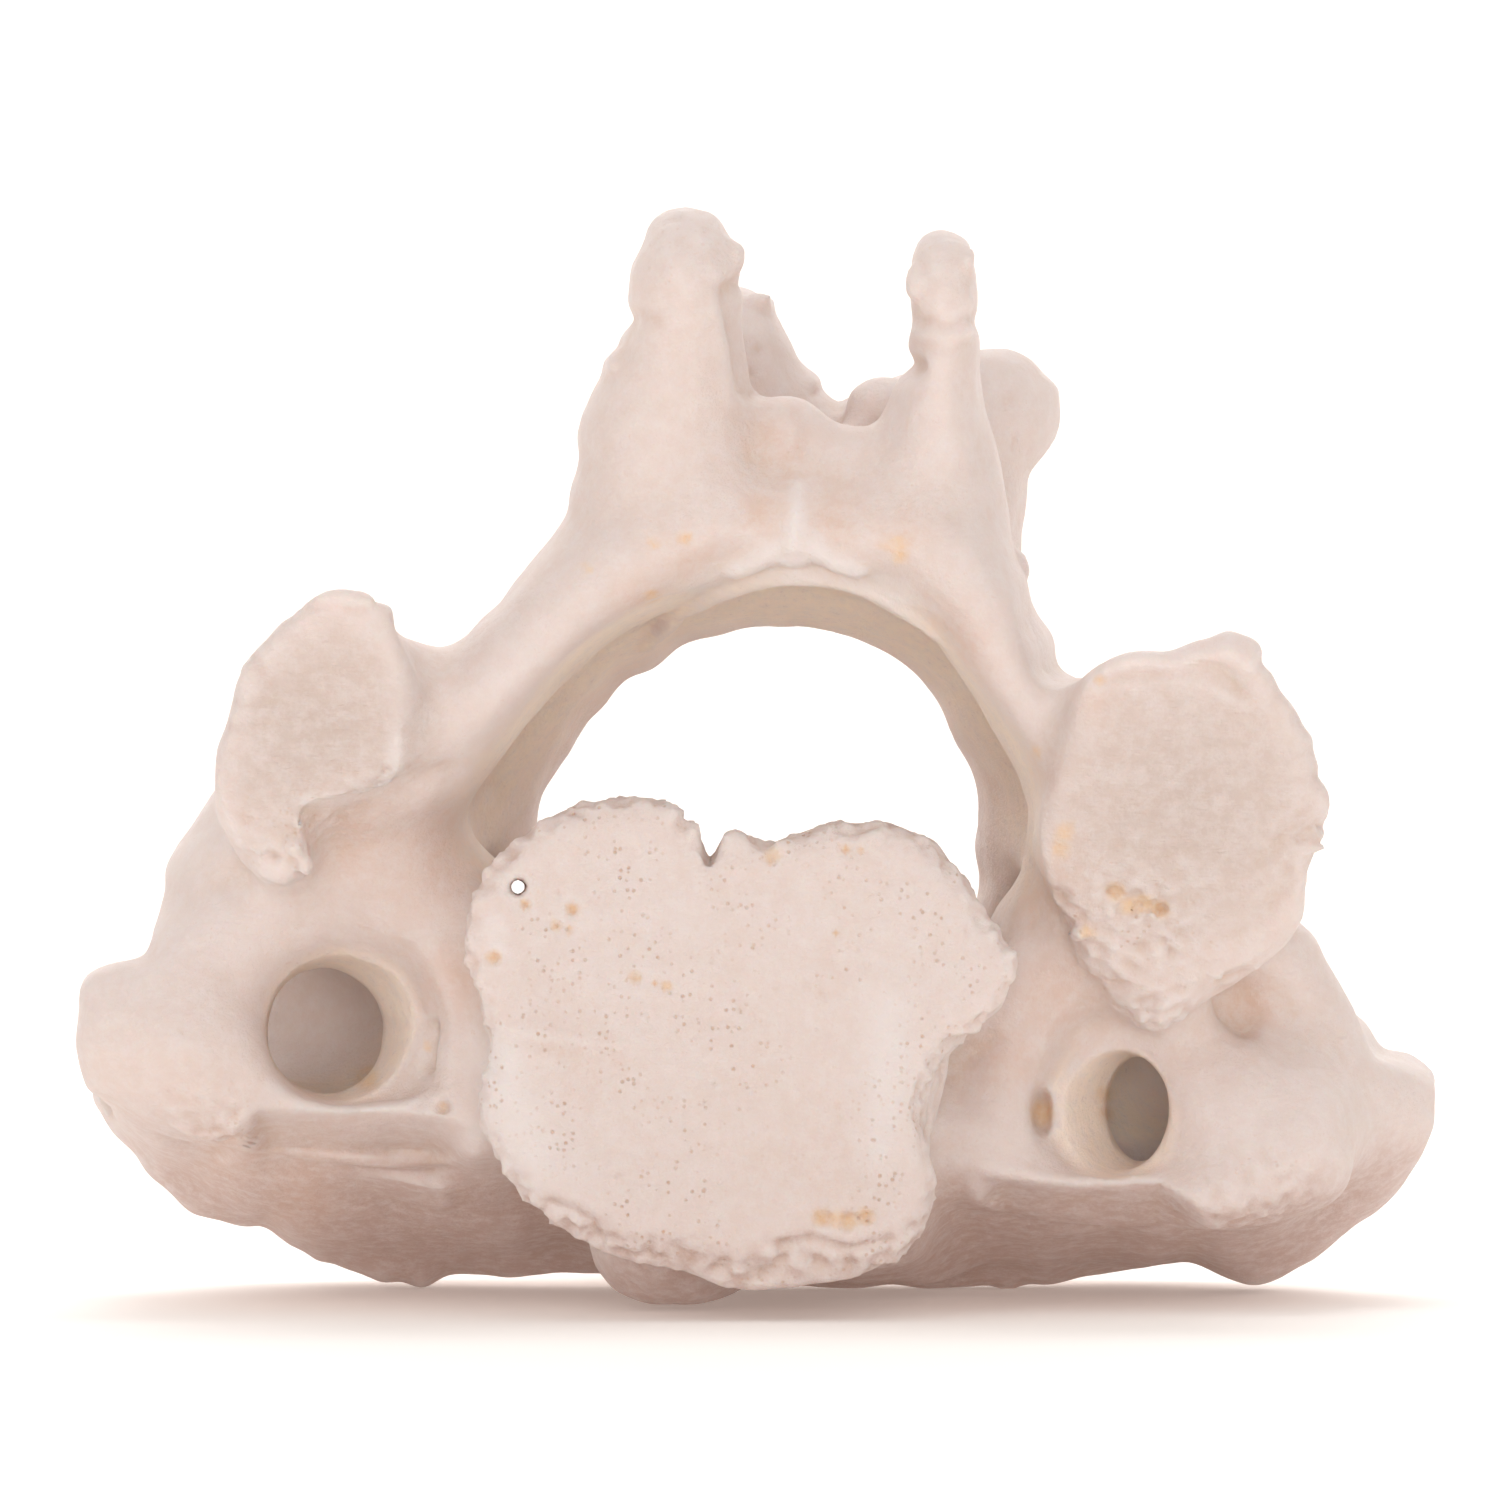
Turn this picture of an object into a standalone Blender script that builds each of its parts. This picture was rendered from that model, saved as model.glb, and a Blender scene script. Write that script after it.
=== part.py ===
"""Two fused neck vertebrae, the axis and the third, lying on their front edge with the spines up.

+X is the bone's right as seen from below, +Y runs towards the head, +Z runs towards the back of the neck.
Sizes in the tables below are millimetres, measured from the middle of the lower end plate's plane.
"""
import math

import bmesh
import bpy
from mathutils import Matrix, Vector

MM = 0.001

# Grain of the smoothed skin, and the share of its triangles that are kept
SMOOTH_VOXEL = 0.55
KEPT_TRIANGLES = 0.075

# Where the bone is parted into its named regions, mm
CUT_GAP = 0.3
BODY_CUT_Y = 15.5
DENS_CUT_Y = 36.2
WING_CUT_Y = 16.4
LEFT_SIDE_X = -11.9
RIGHT_SIDE_X = 11.1
PILLAR_CUT_Z = 17.0
SPINE_CUT_Z = 32.0
ARCH_CUT_Y = 10.2
ARCH_LEFT = ((-10.0, 19.45), (-15.6, 30.0))
ARCH_RIGHT = ((9.65, 19.3), (10.6, 21.5), (12.0, 24.6), (13.8, 29.0))


def clear_scene():
    for item in list(bpy.data.objects):
        bpy.data.objects.remove(item)


def spline(points, i, t):
    """The value a share t of the way from points[i] to points[i + 1] on a curve through all of them."""
    last = len(points) - 1
    a, b, c, d = (points[max(0, min(last, i + k))] for k in (-1, 0, 1, 2))
    return [
        0.5 * (2 * q + (r - p) * t + (2 * p - 5 * q + 4 * r - s) * t * t + (3 * q - p - 3 * r + s) * t ** 3)
        for p, q, r, s in zip(a, b, c, d)
    ]


def refine(stations, steps):
    fine = [spline(stations, i, k / steps) for i in range(len(stations) - 1) for k in range(steps)]
    return fine + [list(stations[-1])]


def mesh_object(name, rings):
    """A closed body from a list of rings, each a list of points in mm."""
    mesh = bpy.data.meshes.new(name)
    bm = bmesh.new()
    loops = [[bm.verts.new(Vector(p) * MM) for p in ring] for ring in rings]
    sides = len(rings[0])
    for low, high in zip(loops, loops[1:]):
        for k in range(sides):
            j = (k + 1) % sides
            bm.faces.new((low[k], low[j], high[j], high[k]))
    bm.faces.new(loops[0][::-1])
    bm.faces.new(loops[-1])
    bmesh.ops.recalc_face_normals(bm, faces=bm.faces)
    bm.to_mesh(mesh)
    bm.free()
    made = bpy.data.objects.new(name, mesh)
    bpy.context.scene.collection.objects.link(made)
    return made


def limb(name, stations, across, nose=(0.6, 0.6), sides=20, steps=4, square=2.0):
    """A rounded limb through stations (x, y, z, a, b): a is the half size along across, b the other half size."""
    path = refine(stations, steps)
    centres = [Vector(p[:3]) for p in path]
    halves = [(max(p[3], 0.2), max(p[4], 0.2)) for p in path]
    first = (centres[0] - centres[1]).normalized()
    last = (centres[-1] - centres[-2]).normalized()
    shares = (0.35, 0.7, 0.93)
    caps = []
    for end, heading, size in ((0, first, nose[0]), (-1, last, nose[1])):
        reach = size * min(halves[end])
        cap = [
            (centres[end] + heading * reach * s, [h * math.sqrt(1 - s * s) for h in halves[end]]) for s in shares
        ]
        caps.append(cap)
    line = caps[0][::-1] + list(zip(centres, halves)) + caps[1]
    rings = []
    for i, (centre, (a, b)) in enumerate(line):
        before, after = line[max(0, i - 1)][0], line[min(len(line) - 1, i + 1)][0]
        along = (after - before).normalized()
        u = (Vector(across) - along * along.dot(Vector(across))).normalized()
        v = along.cross(u)
        ring = []
        for k in range(sides):
            angle = 2 * math.pi * k / sides
            c, s = math.cos(angle), math.sin(angle)
            c = math.copysign(abs(c) ** (2 / square), c)
            s = math.copysign(abs(s) ** (2 / square), s)
            ring.append(centre + u * a * c + v * b * s)
        rings.append(ring)
    return mesh_object(name, rings)


X, Y = (1, 0, 0), (0, 1, 0)

# The rim of the third vertebra's lower end plate, (x, z) anticlockwise from its right ear
END_PLATE_RIM = (
    (10.3, 14.0), (9.3, 16.0), (8.3, 17.4), (6.8, 19.0), (5.3, 19.8), (2.4, 19.6), (0.6, 18.9), (-1.2, 19.2),
    (-1.9, 18.6), (-3.3, 20.4), (-5.2, 20.8), (-7.5, 20.3), (-9.8, 18.8), (-11.3, 16.7), (-11.6, 14.6),
    (-10.7, 12.0), (-10.6, 10.2), (-11.2, 8.2), (-10.4, 6.5), (-8.8, 4.4), (-6.3, 3.1), (-3.2, 2.3),
    (-0.2, 1.8), (2.2, 2.5), (4.8, 1.9), (6.8, 3.6), (7.2, 5.8), (6.4, 8.2), (7.6, 10.8), (9.9, 12.2),
)
END_PLATE_CENTRE = (-1.3, 11.4)


def end_plate():
    """The third vertebra's lipped lower end plate."""
    rim = refine(list(END_PLATE_RIM) + [END_PLATE_RIM[0]], 2)[:-1]
    cx, cz = END_PLATE_CENTRE
    stations = ((-0.1, 0.92), (0.15, 0.975), (0.8, 1.01), (1.9, 1.0), (3.2, 0.93), (5.2, 0.82), (8.0, 0.72))
    rings = [[(cx + (x - cx) * scale, depth, cz + (z - cz) * scale) for x, z in rim] for depth, scale in stations]
    return [mesh_object("end_plate", rings)]


def third_body():
    """The third vertebra's waist and the ridges on its front."""
    return [
        limb("third_body", ((-1.3, 2.0, 11.2, 9.6, 8.2), (-1.3, 5.0, 11.0, 8.8, 7.6), (-1.3, 9.0, 10.8, 8.4, 7.2),
                            (-1.2, 14.0, 10.4, 8.6, 7.4), (-1.0, 19.0, 9.4, 9.0, 7.8)), X, nose=(0.1, 0.3),
             square=2.3),
        # the ridge on the front of the body that the bone lies on
        limb("front_ridge", ((-3.6, 4.4, 5.4, 2.2, 2.2), (-3.4, 8.0, 3.1, 3.5, 2.95), (-3.1, 11.0, 2.6, 3.9, 2.85),
                             (-2.4, 14.5, 3.6, 4.2, 3.0), (-1.6, 20.0, 3.9, 5.0, 3.3)), X),
        limb("front_right", ((4.6, 4.0, 4.6, 1.8, 1.8), (4.4, 10.0, 3.8, 3.0, 2.6), (4.8, 16.0, 3.4, 3.6, 2.9),
                             (6.0, 22.0, 2.9, 5.0, 2.9)), X),
    ]


def axis_body():
    return [
        limb("axis_body", ((-0.9, 12.0, 9.8, 8.4, 7.4), (-0.7, 18.0, 8.8, 9.4, 8.0), (-0.5, 26.0, 8.6, 10.4, 8.0),
                           (-0.5, 31.0, 8.8, 9.4, 7.8), (-0.5, 34.5, 9.0, 7.4, 7.0), (-0.5, 37.5, 9.3, 5.8, 5.9)), X,
             square=2.4),
        # the straight front edge between the shoulders
        limb("front_edge", ((-15.0, 28.5, 3.4, 4.5, 3.2), (-7.0, 27.0, 3.3, 5.0, 2.9), (0.0, 26.0, 2.9, 6.0, 2.95),
                            (8.0, 27.0, 2.8, 5.0, 3.05), (15.5, 28.5, 3.6, 4.5, 3.2)), Y),
    ]


def dens():
    return [
        limb("dens", ((-0.5, 31.0, 9.0, 6.6, 6.4), (-0.5, 36.0, 9.2, 5.2, 5.5), (-0.5, 39.5, 9.4, 4.6, 5.0),
                      (-0.5, 43.0, 9.8, 4.9, 5.3), (-0.5, 46.0, 10.2, 5.0, 5.2), (-0.4, 48.8, 10.8, 3.9, 4.0)), X,
             nose=(0.5, 0.6)),
    ]


def shoulders():
    """The axis's upper joint surfaces, domed ovals that slope away to the sides."""
    return [
        limb("shoulder_left", ((-10.0, 20.0, 9.6, 7.0, 6.8), (-13.4, 26.0, 9.0, 8.8, 8.2),
                               (-16.0, 30.6, 8.9, 9.2, 8.3), (-16.9, 32.4, 9.0, 8.4, 7.7)), X, nose=(0.3, 0.34)),
        limb("shoulder_right", ((10.0, 20.0, 9.4, 7.0, 6.8), (13.6, 26.0, 8.8, 8.8, 8.1),
                                (16.3, 30.6, 8.8, 9.2, 8.3), (17.2, 32.4, 8.9, 8.4, 7.7)), X, nose=(0.3, 0.34)),
    ]


def plaque(name, rim, face, lean, back, stations, swell=1.025):
    """A joint face: its flat front on rim (x, z) at depth face at the rim's middle, leaning lean mm for each mm up,
    drawn back along back through stations (distance, scale)."""
    cx = sum(p[0] for p in rim) / len(rim)
    cz = sum(p[1] for p in rim) / len(rim)
    fine = refine(list(rim) + [rim[0]], 2)[:-1]
    rings = []
    for distance, scale in stations:
        ring = []
        for x, z in fine:
            dx, dz = (x - cx) * scale * swell, (z - cz) * scale * swell
            ring.append(Vector((cx + dx, face + lean * dz, cz + dz)) + Vector(back) * distance)
        rings.append(ring)
    return mesh_object(name, rings)


LEFT_FACE_RIM = (
    (-13.9, 26.6), (-15.3, 28.4), (-17.0, 28.8), (-18.2, 27.8), (-20.2, 26.3), (-20.7, 24.8), (-21.3, 22.9),
    (-21.7, 20.4), (-20.6, 18.2), (-19.4, 17.4), (-18.0, 17.8), (-18.0, 19.3), (-16.4, 20.3), (-14.6, 21.1),
    (-13.7, 22.6), (-13.4, 24.6),
)
RIGHT_FACE_RIM = (
    (12.8, 24.8), (13.6, 26.0), (16.1, 26.7), (17.6, 26.9), (18.7, 27.4), (20.0, 26.8), (20.4, 25.7), (21.5, 24.0),
    (22.2, 22.2), (22.9, 20.6), (22.4, 19.4), (22.0, 17.6), (21.8, 15.6), (19.6, 13.6), (17.8, 12.7), (16.4, 11.4),
    (15.2, 12.0), (13.9, 13.6), (13.0, 15.0), (12.6, 16.4), (11.7, 17.8), (11.3, 19.2), (12.0, 22.0),
)


def joint_faces():
    """The third vertebra's two lower joint faces, tilted down towards the bodies."""
    return [
        plaque("face_left", LEFT_FACE_RIM, -0.6, -0.62, (0.06, 1.0, -0.06),
               ((-0.1, 0.9), (0.1, 0.97), (0.8, 1.01), (2.6, 1.0), (5.4, 0.9), (9.0, 0.74))),
        plaque("face_right", RIGHT_FACE_RIM, 0.6, -0.55, (-0.06, 1.0, -0.08),
               ((-0.1, 0.91), (0.1, 0.97), (0.8, 1.01), (2.8, 1.0), (5.8, 0.88), (9.0, 0.74))),
    ]


def transverse_left():
    return [
        limb("left_front_bar", ((-8.5, 8.0, 8.2, 3.6, 2.0), (-13.0, 8.5, 7.0, 3.8, 1.5), (-17.0, 8.6, 7.0, 4.0, 1.3),
                                (-20.4, 8.8, 8.2, 4.2, 2.0), (-22.8, 8.6, 9.4, 4.4, 3.0)), Y),
        limb("left_back_bar", ((-10.5, 10.0, 14.6, 4.0, 2.8), (-14.5, 10.5, 16.4, 4.4, 2.6),
                               (-18.5, 10.2, 15.9, 4.6, 2.5), (-22.0, 9.4, 13.8, 4.4, 2.5),
                               (-24.4, 8.6, 11.6, 4.2, 2.5)), Y),
        limb("left_root", ((-18.0, 12.0, 20.0, 4.6, 3.4), (-20.9, 11.5, 18.2, 4.6, 2.9), (-22.2, 10.4, 15.4, 4.4, 2.2),
                           (-22.8, 9.4, 12.6, 4.2, 2.2)), Y),
        limb("left_inner_wall", ((-11.4, 8.6, 8.6, 3.8, 2.0), (-11.8, 8.8, 11.6, 3.8, 1.9),
                                 (-12.6, 9.0, 15.2, 4.0, 2.4)), Y),
        limb("left_tip", ((-20.6, 8.2, 9.8, 4.2, 2.8), (-23.4, 8.0, 10.8, 4.4, 3.2), (-25.8, 8.2, 11.5, 3.8, 3.1)),
             Y, nose=(0.6, 0.6)),
        # the axis's own process behind it, the web that joins the two and the edge that runs down to the floor
        limb("left_axis_process", ((-17.0, 25.0, 9.0, 6.0, 5.4), (-21.2, 23.0, 8.8, 5.2, 4.6),
                                   (-24.6, 20.5, 8.6, 4.0, 3.0)), Y, nose=(0.6, 0.9)),
        limb("left_web", ((-24.0, 8.0, 10.4, 2.8, 3.2), (-24.2, 14.0, 9.2, 2.6, 3.4), (-24.2, 21.0, 8.4, 2.8, 3.2)),
             X),
        limb("left_edge", ((-24.5, 21.0, 7.0, 3.6, 2.4), (-22.4, 24.0, 5.6, 4.0, 2.6), (-18.6, 26.6, 4.1, 4.2, 2.7),
                           (-15.2, 27.4, 3.0, 4.2, 3.2)), Y),
        # the axis's bar behind the nerve's way out
        limb("left_axis_bar", ((-14.0, 21.0, 15.6, 2.8, 3.6), (-19.0, 20.0, 14.6, 2.8, 3.0),
                               (-23.0, 20.0, 11.8, 2.8, 2.2), (-24.4, 20.4, 9.0, 2.6, 2.2)), Y),
        limb("left_underside", ((-19.5, 8.6, 7.9, 3.0, 1.2), (-18.9, 14.0, 6.0, 4.2, 1.6),
                                (-17.5, 19.0, 4.8, 5.2, 2.4), (-16.5, 26.0, 4.0, 6.0, 3.0)), X),
        limb("left_inner_underside", ((-12.0, 8.6, 7.2, 3.0, 1.2), (-11.7, 14.0, 5.8, 4.2, 1.8),
                                      (-11.3, 19.0, 4.8, 5.0, 2.6), (-11.0, 26.0, 4.2, 6.0, 3.2)), X),
    ]


def transverse_right():
    return [
        limb("right_front_bar", ((6.5, 9.0, 7.2, 3.6, 2.2), (11.0, 9.8, 4.9, 3.8, 1.5), (15.0, 10.0, 4.3, 4.0, 1.2),
                                 (19.0, 10.2, 4.6, 4.2, 1.7), (22.3, 11.0, 6.4, 4.2, 2.9)), Y),
        limb("right_back_bar", ((10.0, 11.5, 13.2, 4.2, 3.0), (13.6, 11.8, 13.6, 4.2, 2.6),
                                (16.8, 12.2, 11.6, 4.0, 2.0), (19.6, 12.6, 9.8, 4.0, 2.2)), Y),
        limb("right_root", ((17.8, 13.0, 16.0, 4.0, 2.8), (21.5, 13.8, 13.2, 3.4, 2.3), (23.8, 15.4, 9.8, 3.4, 2.1),
                            (25.9, 17.6, 7.9, 3.6, 2.3)), Y, nose=(0.6, 0.9)),
        limb("right_inner_wall", ((9.6, 9.4, 6.6, 3.8, 2.2), (10.4, 10.0, 10.0, 3.8, 2.0), (11.6, 10.2, 14.0, 4.0, 2.4)),
             Y),
        limb("right_plate", ((16.6, 10.8, 8.6, 3.4, 2.2), (19.5, 10.8, 7.4, 4.0, 3.4), (22.4, 11.4, 7.0, 4.0, 3.2)),
             Y, nose=(0.5, 0.5)),
        limb("right_axis_process", ((17.0, 25.0, 9.0, 6.0, 5.4), (21.6, 22.5, 8.8, 5.2, 4.6),
                                    (25.0, 19.8, 8.4, 4.2, 3.0)), Y, nose=(0.6, 0.9)),
        limb("right_web", ((21.6, 12.0, 7.6, 3.2, 3.2), (23.4, 16.0, 7.8, 3.2, 3.4), (24.8, 20.0, 8.0, 2.8, 3.2)), X),
        limb("right_edge", ((25.9, 18.5, 7.0, 3.6, 2.3), (24.2, 21.0, 5.0, 3.8, 2.4), (21.4, 24.0, 3.0, 4.0, 2.7),
                            (20.2, 27.0, 3.0, 4.0, 2.7)), Y),
        limb("right_axis_bar", ((14.0, 21.0, 15.0, 2.8, 3.6), (19.0, 20.0, 13.6, 2.8, 2.8),
                                (22.2, 19.6, 10.2, 2.8, 1.8), (24.8, 19.4, 8.0, 2.6, 2.0)), Y),
        limb("right_underside", ((18.5, 10.6, 4.8, 3.2, 1.2), (18.8, 15.0, 3.9, 4.2, 1.5), (18.4, 20.0, 3.3, 4.6, 2.2),
                                 (17.5, 26.0, 3.4, 6.0, 2.6)), X),
        limb("right_inner_underside", ((11.0, 9.6, 5.2, 3.0, 1.2), (11.3, 15.0, 4.2, 4.2, 1.7),
                                       (11.5, 20.0, 3.7, 4.8, 2.4), (11.5, 26.0, 3.6, 6.0, 3.0)), X),
    ]


def pillars():
    """The joint pillars: from the axis's shoulders up and forward to the third vertebra's lower joint faces."""
    return [
        limb("pillar_left", ((-14.0, 27.0, 13.0, 5.6, 4.2), (-14.8, 20.0, 17.0, 5.0, 4.2),
                             (-16.6, 12.0, 20.4, 4.8, 4.8), (-17.4, 7.6, 22.6, 4.0, 4.8)),
             X, nose=(0.6, 0.2)),
        limb("pillar_right", ((14.0, 27.0, 12.6, 5.6, 4.2), (14.6, 20.0, 15.8, 5.0, 4.2),
                              (16.2, 13.0, 18.4, 4.9, 5.0), (17.0, 8.8, 20.0, 4.6, 5.4)),
             X, nose=(0.6, 0.2)),
        plaque("stem_left", LEFT_FACE_RIM, 0.9, -0.62, (0.12, 1.0, -0.12),
               ((0.0, 0.9), (1.0, 0.97), (6.0, 0.97), (10.0, 0.86), (14.0, 0.6))),
        plaque("stem_right", RIGHT_FACE_RIM, 2.1, -0.55, (-0.1, 1.0, -0.1),
               ((0.0, 0.9), (1.0, 0.96), (6.0, 0.96), (10.0, 0.8), (14.0, 0.6))),
        # pedicles, between the bodies and the pillars
        limb("third_pedicle_left", ((-7.0, 9.0, 14.0, 4.2, 3.6), (-11.8, 9.4, 15.2, 4.2, 3.2),
                                    (-15.5, 9.0, 18.4, 4.4, 3.6)), Y),
        limb("third_pedicle_right", ((7.0, 9.5, 13.6, 4.2, 3.6), (12.0, 10.0, 14.2, 4.2, 3.2),
                                     (15.5, 9.6, 17.0, 4.4, 3.8)), Y),
        limb("axis_pedicle_left", ((-8.0, 26.0, 11.0, 5.6, 4.0), (-11.8, 25.0, 14.4, 5.6, 3.4),
                                   (-12.6, 23.4, 18.0, 5.6, 3.4)), Y),
        limb("axis_pedicle_right", ((8.0, 26.0, 11.0, 5.6, 4.0), (12.2, 25.0, 14.0, 5.6, 3.4),
                                    (13.0, 23.4, 17.6, 5.6, 3.4)), Y),
    ]


def laminae():
    return [
        limb("third_lamina_left", ((-16.6, 6.4, 21.6, 4.6, 3.0), (-13.3, 6.0, 23.2, 5.4, 3.3),
                                   (-11.0, 5.4, 24.8, 5.8, 2.2), (-9.0, 5.2, 26.8, 6.0, 2.3),
                                   (-6.3, 5.2, 29.3, 6.0, 2.5), (-2.8, 5.4, 31.3, 6.0, 2.2),
                                   (0.8, 5.6, 32.0, 6.0, 2.2)), Y),
        limb("third_lamina_right", ((16.4, 7.4, 20.4, 4.8, 3.4), (13.4, 6.6, 21.6, 5.6, 2.6),
                                    (10.9, 5.8, 24.5, 5.8, 1.8), (9.4, 5.4, 27.3, 6.0, 2.0),
                                    (7.8, 5.4, 30.2, 6.0, 2.4), (4.6, 5.4, 31.4, 6.0, 2.2),
                                    (0.8, 5.6, 32.0, 6.0, 2.2)), Y),
        limb("axis_lamina_left", ((-12.8, 24.0, 16.5, 6.0, 3.6), (-12.4, 21.0, 20.6, 7.4, 3.4),
                                  (-10.0, 18.6, 24.8, 7.6, 2.9), (-6.8, 17.2, 28.0, 7.4, 2.8),
                                  (-2.6, 16.2, 30.2, 7.4, 2.9), (1.0, 16.0, 31.0, 7.4, 3.0)), Y),
        limb("axis_lamina_right", ((13.2, 24.0, 16.2, 6.0, 3.6), (12.8, 21.0, 20.4, 7.4, 3.4),
                                   (10.9, 18.6, 24.8, 7.6, 2.9), (8.0, 17.2, 28.4, 7.4, 2.9),
                                   (4.0, 16.2, 30.4, 7.4, 2.9), (1.0, 16.0, 31.0, 7.4, 3.0)), Y),
        # the keel where the two laminae of the third vertebra meet
        limb("keel", ((1.4, 1.4, 29.9, 1.1, 0.9), (1.6, 1.8, 31.4, 1.0, 0.6), (1.6, 3.2, 33.6, 1.2, 0.4)), Y),
    ]


def spines():
    """The forked spines: two tall prongs of the third vertebra in front of the axis's broad lobes."""
    return [
        limb("prong_left", ((-4.2, 5.4, 29.4, 4.4, 3.8), (-3.8, 4.6, 33.0, 4.6, 3.9), (-3.4, 3.4, 36.6, 4.2, 3.45),
                            (-2.9, 2.2, 39.4, 3.6, 2.5), (-2.8, 1.2, 42.0, 3.4, 2.35)), Y, nose=(0.6, 1.1)),
        limb("prong_right", ((7.0, 5.4, 29.8, 4.4, 3.4), (7.0, 4.8, 33.0, 4.4, 3.3), (7.3, 3.6, 36.4, 4.0, 2.0),
                             (7.55, 2.4, 39.4, 3.4, 1.4), (7.4, 1.4, 42.0, 3.0, 1.5)), Y, nose=(0.6, 1.2)),
        limb("axis_lobe_left", ((0.4, 15.0, 31.0, 5.6, 3.6), (-1.6, 14.6, 34.6, 5.4, 4.8), (-1.5, 13.8, 37.2, 5.0, 4.4),
                                (-1.1, 12.8, 39.4, 4.2, 2.5)), Y, nose=(0.6, 0.9)),
        limb("axis_lobe_right", ((1.6, 15.0, 31.0, 5.6, 3.0), (5.8, 14.6, 34.4, 5.4, 3.3),
                                 (8.6, 13.4, 36.0, 5.0, 3.0), (10.2, 12.4, 36.6, 4.2, 2.7)), Y, nose=(0.6, 0.75)),
        limb("axis_lobe_root", ((8.2, 14.6, 30.6, 5.4, 2.8), (8.8, 13.6, 34.0, 4.8, 2.3)), Y),
    ]


def cutters():
    canal = limb("canal", ((0.2, -14.0, 19.0, 11.2, 10.5), (0.2, 0.0, 19.0, 11.1, 10.5), (0.2, 8.0, 18.8, 10.3, 10.0),
                           (0.1, 15.0, 18.5, 9.7, 9.6), (0.1, 22.0, 18.2, 9.3, 9.3), (0.1, 32.0, 18.2, 9.3, 9.3),
                           (0.3, 62.0, 20.6, 10.4, 10.4)), X, nose=(0.1, 0.1), sides=36)
    left = limb("left_artery", ((-16.7, -6.0, 11.4, 3.2, 3.15), (-16.7, 4.0, 11.4, 3.15, 3.1),
                                (-16.8, 12.0, 11.4, 3.15, 3.1), (-16.9, 17.8, 11.4, 3.15, 3.1),
                                (-21.6, 23.2, 11.8, 2.8, 2.8), (-28.0, 27.0, 12.2, 3.0, 3.0),
                                (-36.0, 29.0, 12.6, 3.2, 3.2)), X, sides=24)
    right = limb("right_artery", ((14.4, -6.0, 7.9, 2.3, 2.7), (14.4, 5.0, 7.9, 2.2, 2.6),
                                  (14.5, 12.0, 8.2, 2.2, 2.6), (16.2, 17.0, 9.2, 2.4, 2.6),
                                  (20.6, 22.4, 10.8, 2.6, 2.7), (27.0, 27.0, 11.8, 2.9, 2.9),
                                  (36.0, 29.0, 12.4, 3.1, 3.1)), X, sides=24)
    nerve_left = limb("left_nerve", ((-7.0, 15.4, 17.4, 2.0, 2.4), (-12.0, 15.6, 15.4, 2.0, 2.4),
                                     (-18.0, 15.4, 14.2, 2.1, 2.4), (-30.0, 14.6, 13.2, 2.4, 2.6)), Y)
    nerve_right = limb("right_nerve", ((7.0, 16.2, 16.6, 2.0, 2.4), (12.0, 16.4, 14.4, 2.0, 2.4),
                                       (18.0, 16.4, 13.0, 2.1, 2.4), (30.0, 15.6, 13.4, 2.2, 2.6)), Y)
    return [canal, left, right, nerve_left, nerve_right]


ROUND_PARTS = (shoulders, transverse_left, transverse_right, pillars, laminae, spines)
BODY_PARTS = (third_body, axis_body, dens)
FACE_PARTS = (end_plate, joint_faces)


def apply_modifiers(item):
    bpy.context.view_layer.objects.active = item
    for modifier in list(item.modifiers):
        with bpy.context.temp_override(object=item, active_object=item):
            bpy.ops.object.modifier_apply(modifier=modifier.name)


def gather(pieces, name):
    group = bpy.data.collections.new(name)
    bpy.context.scene.collection.children.link(group)
    for piece in pieces:
        for holder in list(piece.users_collection):
            holder.objects.unlink(piece)
        group.objects.link(piece)
    return group


def boolean(body, pieces, operation, name):
    group = gather(pieces, name)
    step = body.modifiers.new(name, "BOOLEAN")
    step.operation = operation
    step.operand_type = "COLLECTION"
    step.collection = group
    step.solver = "MANIFOLD"
    apply_modifiers(body)
    for piece in pieces:
        bpy.data.objects.remove(piece)
    bpy.data.collections.remove(group)


def even_skin(body, rounds):
    remesh = body.modifiers.new("even skin", "REMESH")
    remesh.mode = "VOXEL"
    remesh.voxel_size = SMOOTH_VOXEL * MM
    smooth = body.modifiers.new("soften", "SMOOTH")
    smooth.factor = 0.5
    smooth.iterations = rounds
    apply_modifiers(body)


def blended(parts, rounds):
    pieces = [piece for part in parts for piece in part()]
    boolean(pieces[0], pieces[1:], "UNION", "join")
    even_skin(pieces[0], rounds)
    return pieces[0]


def whole_bone():
    bone = blended(ROUND_PARTS, 11)
    boolean(bone, cutters(), "DIFFERENCE", "openings")
    boolean(bone, [blended(BODY_PARTS, 8)], "UNION", "bodies")
    even_skin(bone, 6)
    boolean(bone, [piece for part in FACE_PARTS for piece in part()], "UNION", "faces")
    even_skin(bone, 3)
    return bone


def cut_sheet(name, path, reach, along):
    """A thin sheet along path: points (x, z) drawn out over reach in y, or points (y, z) over reach in x."""
    half = CUT_GAP / 2
    low, high = reach
    rings = []
    for i, point in enumerate(path):
        before, after = Vector(path[max(0, i - 1)]), Vector(path[min(len(path) - 1, i + 1)])
        run = (after - before).normalized()
        side = Vector((-run.y, run.x)) * half
        one, other = Vector(point) + side, Vector(point) - side
        ring = ((one, low), (one, high), (other, high), (other, low))
        if along == "y":
            rings.append([(p.x, depth, p.y) for p, depth in ring])
        else:
            rings.append([(depth, p.x, p.y) for p, depth in ring])
    return mesh_object(name, rings)


def flat_sheet(name, outline, depth):
    """A thin upright sheet across the bone at depth, with an outline of points (x, z)."""
    return mesh_object(name, [[(x, depth + side * CUT_GAP / 2, z) for x, z in outline] for side in (-1, 1)])


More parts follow.
